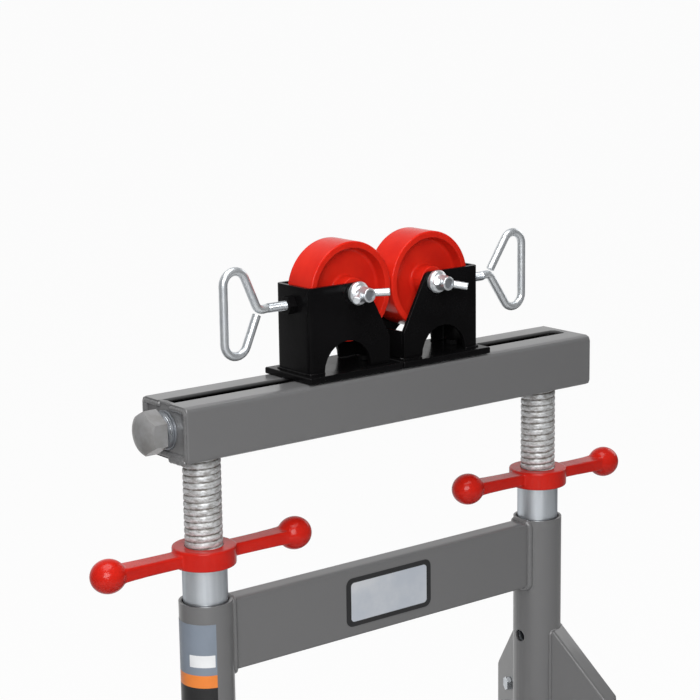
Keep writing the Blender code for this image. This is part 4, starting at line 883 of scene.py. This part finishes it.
for side in SIDES:
    dress_node(f"wing_washer_{side}", bright_zinc, 0.0004)
    axle = copy_node(f"axle_{side}", f"axle_{side}_turned")
    bpy.ops.object.mode_set(mode="EDIT")
    bpy.ops.mesh.select_all(action="SELECT")
    bpy.ops.mesh.bisect(plane_co=(0, SHANK_END, 0), plane_no=(0, 1, 0), use_fill=True, clear_inner=True)
    bpy.ops.object.mode_set(mode="OBJECT")
    soften_edges(axle, 0.0005)
    finish_piece(axle, bright_zinc, f"carriage_{side}", [f"axle_{side}"])
    place = (Matrix.Translation((WHEEL_PLACES[side], AXLE_THREAD_START, WHEEL_HEIGHT))
             @ Matrix.Rotation(math.pi / 2, 4, "X"))
    thread = roll_thread(f"axle_{side}_thread", AXLE_THREAD_LENGTH, BOLT_WAVE, AXLE_PITCH, 32, place)
    finish_piece(thread, worn_zinc, f"carriage_{side}", degrees=THREAD_DEGREES)

    nut = turn_profile(f"wing_nut_{side}_forged", [
        (0, 0), (0, 0.0126), (-0.0012, 0.0134), (-0.0030, 0.0134), (-0.0052, 0.0118), (-0.0066, 0.0096),
        (-0.0080, 0.0088), (-0.0212, 0.0080), (-0.0218, 0.0074), (-0.0218, 0)], (0, 0, 0), "Y")
    wings = []
    for way in (-1, 1):
        root = Vector((way * WING_ROOT[0], WING_ROOT[1], 0))
        tip = Vector((way * WING_TIP[0], WING_TIP[1], 0))
        lean = (tip - root).to_track_quat("Z", "Y").to_matrix().to_4x4()
        leave_edit_mode()
        bpy.ops.mesh.primitive_cone_add(vertices=32, radius1=0.0044, radius2=0.0043,
                                        depth=(tip - root).length)
        wing = bpy.context.object
        wing.data.transform(Matrix.Translation((root + tip) / 2) @ lean)
        soften_edges(wing, 0.0008, 2)
        wings.append(wing)
    join_pieces(nut, wings)
    cast_smooth(nut, voxel=0.00036, passes=3)
    bore = add_cylinder("nut_bore", NUT_BORE, 0.060, (0, 0, 0), "Y", 40)
    use_tool(nut, bore, "DIFFERENCE")
    nut.data.transform(Matrix.Translation((WHEEL_PLACES[side], NUT_SEAT, WHEEL_HEIGHT))
                       @ Matrix.Rotation(-math.radians(WING_DEGREES[side]), 4, "Y"))
    finish_piece(nut, bright_zinc, f"wing_nut_{side}", [f"wing_nut_{side}"], ROUND_DEGREES)


# Brake screws
# A threaded rod whose plain end is bent to a loop for the hand. It runs in a nut welded to the
# fork and presses a bronze pad on the tread.
BRAKE_HEIGHT = 0.8658
LOOP_CORNER = 0.0150
KINK_CORNER = 0.0100
LOOP_MOUTH = 0.0044
WIRE_START = 0.15845
WIRE_RADIUS = 0.0049
WIRE_TIP = 0.0043
BRAKE_THREAD_START = 0.11755
BRAKE_THREAD_LENGTH = 0.0410
BRAKE_PITCH = 0.0018
BRAKE_WAVE = ((0.0, 0.00468), (0.14, 0.00468), (0.5, 0.00540), (0.86, 0.00468), (1.0, 0.00468))


def draw_rod(name, points, radii, closed=False, resolution=8):
    """A round rod along a path, as a closed mesh; each point has its own radius."""
    curve = bpy.data.curves.new(name, "CURVE")
    curve.dimensions = "3D"
    curve.bevel_depth = 1.0
    curve.bevel_resolution = resolution
    curve.use_fill_caps = not closed
    path = curve.splines.new("POLY")
    path.points.add(len(points) - 1)
    path.use_cyclic_u = closed
    for spot, point, radius in zip(path.points, points, radii):
        spot.co = (*point, 1.0)
        spot.radius = radius
    rod = bpy.data.objects.new(name, curve)
    scene.collection.objects.link(rod)
    select_only(rod)
    bpy.ops.object.convert(target="MESH")
    rod = bpy.context.object
    face_outward(rod)
    return rod


for side, way, kink, leg, half, lift in (("left", -1, 0.1713, 0.2167, 0.0472, -0.0014),
                                         ("right", 1, 0.1685, 0.2224, 0.0456, 0.0026)):
    height = Vector((0, 0, BRAKE_HEIGHT))
    run, climb = leg - kink - LOOP_CORNER, half - LOOP_CORNER
    slope = math.tan(math.acos(LOOP_CORNER / math.hypot(run, climb)) - math.atan2(climb, run))
    rise = (leg - kink) / slope
    corners = [((way * WIRE_START, 0, 0), 0), ((way * kink, 0, lift), KINK_CORNER),
               ((way * leg, 0, lift - way * rise), LOOP_CORNER),
               ((way * leg, 0, lift + way * rise), LOOP_CORNER),
               ((way * (kink + LOOP_MOUTH * slope), 0, lift + way * LOOP_MOUTH), 0)]
    points = [height + point for point in round_off(corners, 12)]
    last = points[-1] + (points[-1] - points[-2]).normalized() * 0.0004
    radii = [WIRE_RADIUS] * len(points) + [WIRE_TIP]
    wire = draw_rod(f"brake_screw_{side}_loop", points + [last], radii)
    finish_piece(wire, bright_zinc, f"brake_screw_{side}", [f"brake_screw_{side}"], ROUND_DEGREES)
    place = (Matrix.Translation((way * BRAKE_THREAD_START, 0, BRAKE_HEIGHT))
             @ Matrix.Rotation(way * math.pi / 2, 4, "Y"))
    thread = roll_thread(f"brake_screw_{side}_thread", BRAKE_THREAD_LENGTH, BRAKE_WAVE, BRAKE_PITCH,
                         32, place)
    finish_piece(thread, zinc_plate, f"brake_screw_{side}", degrees=THREAD_DEGREES)
    dress_node(f"brake_nut_{side}", black_paint, 0.0006)
    dress_node(f"brake_pad_{side}", bronze, 0.0004)


# Welds
# Beads laid by hand in even ripples, then painted over with the piece they hold. The last one
# has sagged under the beam's drive end.
def walk(points, step, closed=False):
    """The same path again in even steps."""
    corners = points + [points[0]] if closed else points
    reached = [0.0]
    for before, after in zip(corners, corners[1:]):
        reached.append(reached[-1] + (after - before).length)
    count = max(2, round(reached[-1] / step))
    places = []
    for index in range(count if closed else count + 1):
        wanted = reached[-1] * index / count
        spot = next(n for n in range(len(reached)) if reached[n] >= wanted - 1e-9)
        spot = max(1, min(len(corners) - 1, spot))
        share = (wanted - reached[spot - 1]) / max(reached[spot] - reached[spot - 1], 1e-9)
        places.append(corners[spot - 1].lerp(corners[spot], share))
    return places


RIPPLE_STEPS = 5
RIPPLE_RISE = 0.10
HAND_RISE = 0.16
HAND_SCALE = 160.0


def lay_weld(name, points, radius, material, body, closed=False, ripple=0.0030, relief=1.0):
    """A bead with a ripple every few millimetres, a little uneven in height."""
    step = ripple / RIPPLE_STEPS
    places = walk([Vector(point) for point in points], step, closed)
    radii = []
    for index, place in enumerate(places):
        wave = RIPPLE_RISE * relief * abs(math.sin(math.pi * index / RIPPLE_STEPS)) ** 0.7
        uneven = HAND_RISE * relief * noise.noise(place * HAND_SCALE)
        ending = 1.0 if closed else min(1.0, 0.55 + 0.15 * min(index, len(places) - 1 - index))
        radii.append(radius * (0.92 + wave + uneven) * ending)
    bead = draw_rod(name, places, radii, closed, 4)
    return finish_piece(bead, material, body, degrees=80.0)


POST_RADIUS = 0.03015
CROSSBAR_RING = ((-0.0141, 0.5472), (0.0141, 0.5472), (0.0141, 0.4627), (-0.0141, 0.4627))
CROSSBAR_CORNER = 0.0060
JACK_WELD_REACH = 0.0216
JACK_WELD_HEIGHT = 0.7186
BRACKET_DEGREES = 67.0
BRACKET_EDGE = ((-0.0162, 0.2460, 0), (-0.0162, 0.4040, 0.0040), (0.0162, 0.4040, 0.0040),
                (0.0162, 0.2460, 0))
END_PLATE_PLACE = 0.2951
END_PLATE_RIM = (((0.0100, 0.0266, 0), 0), ((0.0394, 0.0266, 0), 0.0030), ((0.0394, -0.0266, 0), 0.0030),
                 ((-0.0394, -0.0266, 0), 0.0030), ((-0.0394, 0.0266, 0), 0.0030),
                 ((-0.0100, 0.0266, 0), 0))
SLOT_MOUTH = ((0.2936, -0.0170, 0.7768), (0.2932, -0.0115, 0.7786), (0.2930, 0, 0.7794),
              (0.2932, 0.0115, 0.7786), (0.2936, 0.0170, 0.7768))
FORK_FOOT_HEIGHT = 0.7894
FORK_FOOT = ((0.1040, -0.0316), (0.1180, -0.0316), (0.1233, -0.0302), (0.1247, -0.0260),
             (0.1247, 0.0260), (0.1233, 0.0302), (0.1180, 0.0316), (0.1040, 0.0316))
for side, way in SIDE_WAYS.items():
    post_x = POST_PLACES[side]
    ring = [((across, height, 0), CROSSBAR_CORNER) for across, height in CROSSBAR_RING]
    bead = [Vector((post_x - way * math.sqrt(POST_RADIUS ** 2 - point.x ** 2), point.x, point.y))
            for point in round_off(ring, 5)]
    lay_weld(f"weld_crossbar_{side}", bead, 0.0046, grey_paint, "lower_frame", True, 0.0050, 0.35)
    jack_ring = []
    for step in range(48):
        turn = step * math.pi / 24
        jack_ring.append(Vector((post_x + JACK_WELD_REACH * math.cos(turn),
                                 JACK_WELD_REACH * math.sin(turn), JACK_WELD_HEIGHT)))
    lay_weld(f"weld_jack_{side}", jack_ring, 0.0024, grey_paint, "lift", True)
    for depth, front in ((-1, "front"), (1, "back")):
        splay = math.radians(BRACKET_DEGREES)
        out = Vector((way * math.cos(splay), depth * math.sin(splay), 0))
        along = Vector((-out.y, out.x, 0))
        edge = [((across, height, 0), radius) for across, height, radius in BRACKET_EDGE]
        bead = [Vector((post_x, 0, point.y)) + along * point.x + out * math.sqrt(
            POST_RADIUS ** 2 - point.x ** 2) for point in round_off(edge, 5)]
        lay_weld(f"weld_bracket_{front}_{side}", bead, 0.0026, grey_paint, "lower_frame")
    end_x = way * END_PLATE_PLACE
    bead = [Vector((end_x, point.x, AXIS_HEIGHT + point.y)) for point in round_off(END_PLATE_RIM, 4)]
    lay_weld(f"weld_beam_end_{side}", bead, 0.0038, grey_paint, "lift", ripple=0.0050, relief=0.6)
    mouth = [Vector((way * x, y, z)) for x, y, z in SLOT_MOUTH]
    lay_weld(f"weld_slot_mouth_{side}", mouth, 0.0026, grey_paint, "lift")
    foot = [Vector((way * x, y, FORK_FOOT_HEIGHT)) for x, y in FORK_FOOT]
    lay_weld(f"weld_fork_outer_{side}", foot, 0.0017, black_paint, f"carriage_{side}")

SAG_PATH = ((-0.2966, -0.0395, 0.7208), (-0.2970, -0.0310, 0.7202), (-0.2970, -0.0190, 0.7204),
            (-0.2966, -0.0080, 0.7208))
lay_weld("weld_sag_left", SAG_PATH, 0.0042, grey_paint, "lift", ripple=0.0080, relief=1.2)


# Plate and sticker
# A bare rounded plate with a black border on the crossbar, and a bare sticker in plain blocks
# of colour wrapped round the left post.
plate_print = coated_material("plate_print", "grey_paint", {
    "Colour": (0.52, 0.56, 0.62, 1), "Second Colour": (0.66, 0.68, 0.71, 1),
    "Patch Scale": 14.0, "Roughness": 0.34, "Roughness Spread": 0.08,
    "Grain Scale": 900.0, "Grain Height": 0.00003}, metallic=0.3)
plate_border = coated_material("plate_border", "black_paint", {
    "Colour": (0.012, 0.012, 0.013, 1), "Second Colour": (0.018, 0.018, 0.019, 1),
    "Patch Scale": 20.0, "Roughness": 0.42, "Roughness Spread": 0.08,
    "Grain Scale": 900.0, "Grain Height": 0.00003})
CROSSBAR_FACE = -0.01365
PLATE_ACROSS = -0.00115
PLATE_HEIGHT = 0.5061
for name, length, height, depth, corner, material in (
        ("plate_back", 0.1280, 0.0590, 0.0005, 0.0090, plate_border),
        ("plate_face", 0.1145, 0.0474, 0.0008, 0.0045, plate_print)):
    leave_edit_mode()
    bpy.ops.mesh.primitive_cube_add(size=1.0, scale=(length, depth, height),
                                    location=(PLATE_ACROSS, CROSSBAR_FACE - depth / 2, PLATE_HEIGHT))
    plate = bpy.context.object
    plate.name = name
    settle(plate)
    bpy.ops.object.mode_set(mode="EDIT")
    bpy.ops.mesh.select_mode(type="EDGE")
    bpy.ops.mesh.select_all(action="DESELECT")
    bm = bmesh.from_edit_mesh(plate.data)
    for edge in bm.edges:
        front, back = (end.co for end in edge.verts)
        edge.select_set(abs(front.y - back.y) > 0.0001)
    bmesh.update_edit_mesh(plate.data)
    bpy.ops.mesh.bevel(offset=corner, segments=8, affect="EDGES")
    bpy.ops.object.mode_set(mode="OBJECT")
    finish_piece(plate, material, "lower_frame")

STICKER_STEP = 2.5
STICKER_BLOCKS = (("sticker_top", 257.0, 123.0, 0.5300, 0.4715, 0.00012, (0.20, 0.235, 0.285, 1)),
                  ("sticker_band", 257.0, 123.0, 0.4715, 0.4570, 0.00012, (0.78, 0.22, 0.035, 1)),
                  ("sticker_foot", 257.0, 123.0, 0.4570, 0.4160, 0.00012, (0.012, 0.012, 0.013, 1)),
                  ("sticker_label", 253.5, 197.0, 0.4947, 0.4808, 0.00020, (0.74, 0.75, 0.76, 1)))
for name, start, end, top, foot, lift, colour in STICKER_BLOCKS:
    ink = coated_material(name, "grey_paint", {
        "Colour": colour, "Second Colour": [share * 0.9 for share in colour[:3]] + [1],
        "Patch Scale": 25.0, "Roughness": 0.38, "Roughness Spread": 0.10,
        "Grain Scale": 500.0, "Grain Height": 0.00004})
    count = max(2, round((start - end) / STICKER_STEP))
    reach = POST_RADIUS + lift
    path = []
    for step in range(count + 1):
        turn = math.radians(start) - math.radians(start - end) * step / count
        path.append((POST_PLACES["left"] + reach * math.cos(turn), reach * math.sin(turn), foot))
    band = chain(name, path)
    bpy.ops.object.mode_set(mode="EDIT")
    bpy.ops.mesh.select_all(action="SELECT")
    bpy.ops.mesh.extrude_region_move(TRANSFORM_OT_translate={"value": (0, 0, top - foot)})
    bpy.ops.object.mode_set(mode="OBJECT")
    face_outward(band)
    sheet = band.modifiers.new("film", "SOLIDIFY")
    sheet.thickness = 0.0002
    sheet.offset = 0.0
    apply_modifiers(band)
    face_outward(band)
    finish_piece(band, ink, "lower_frame")
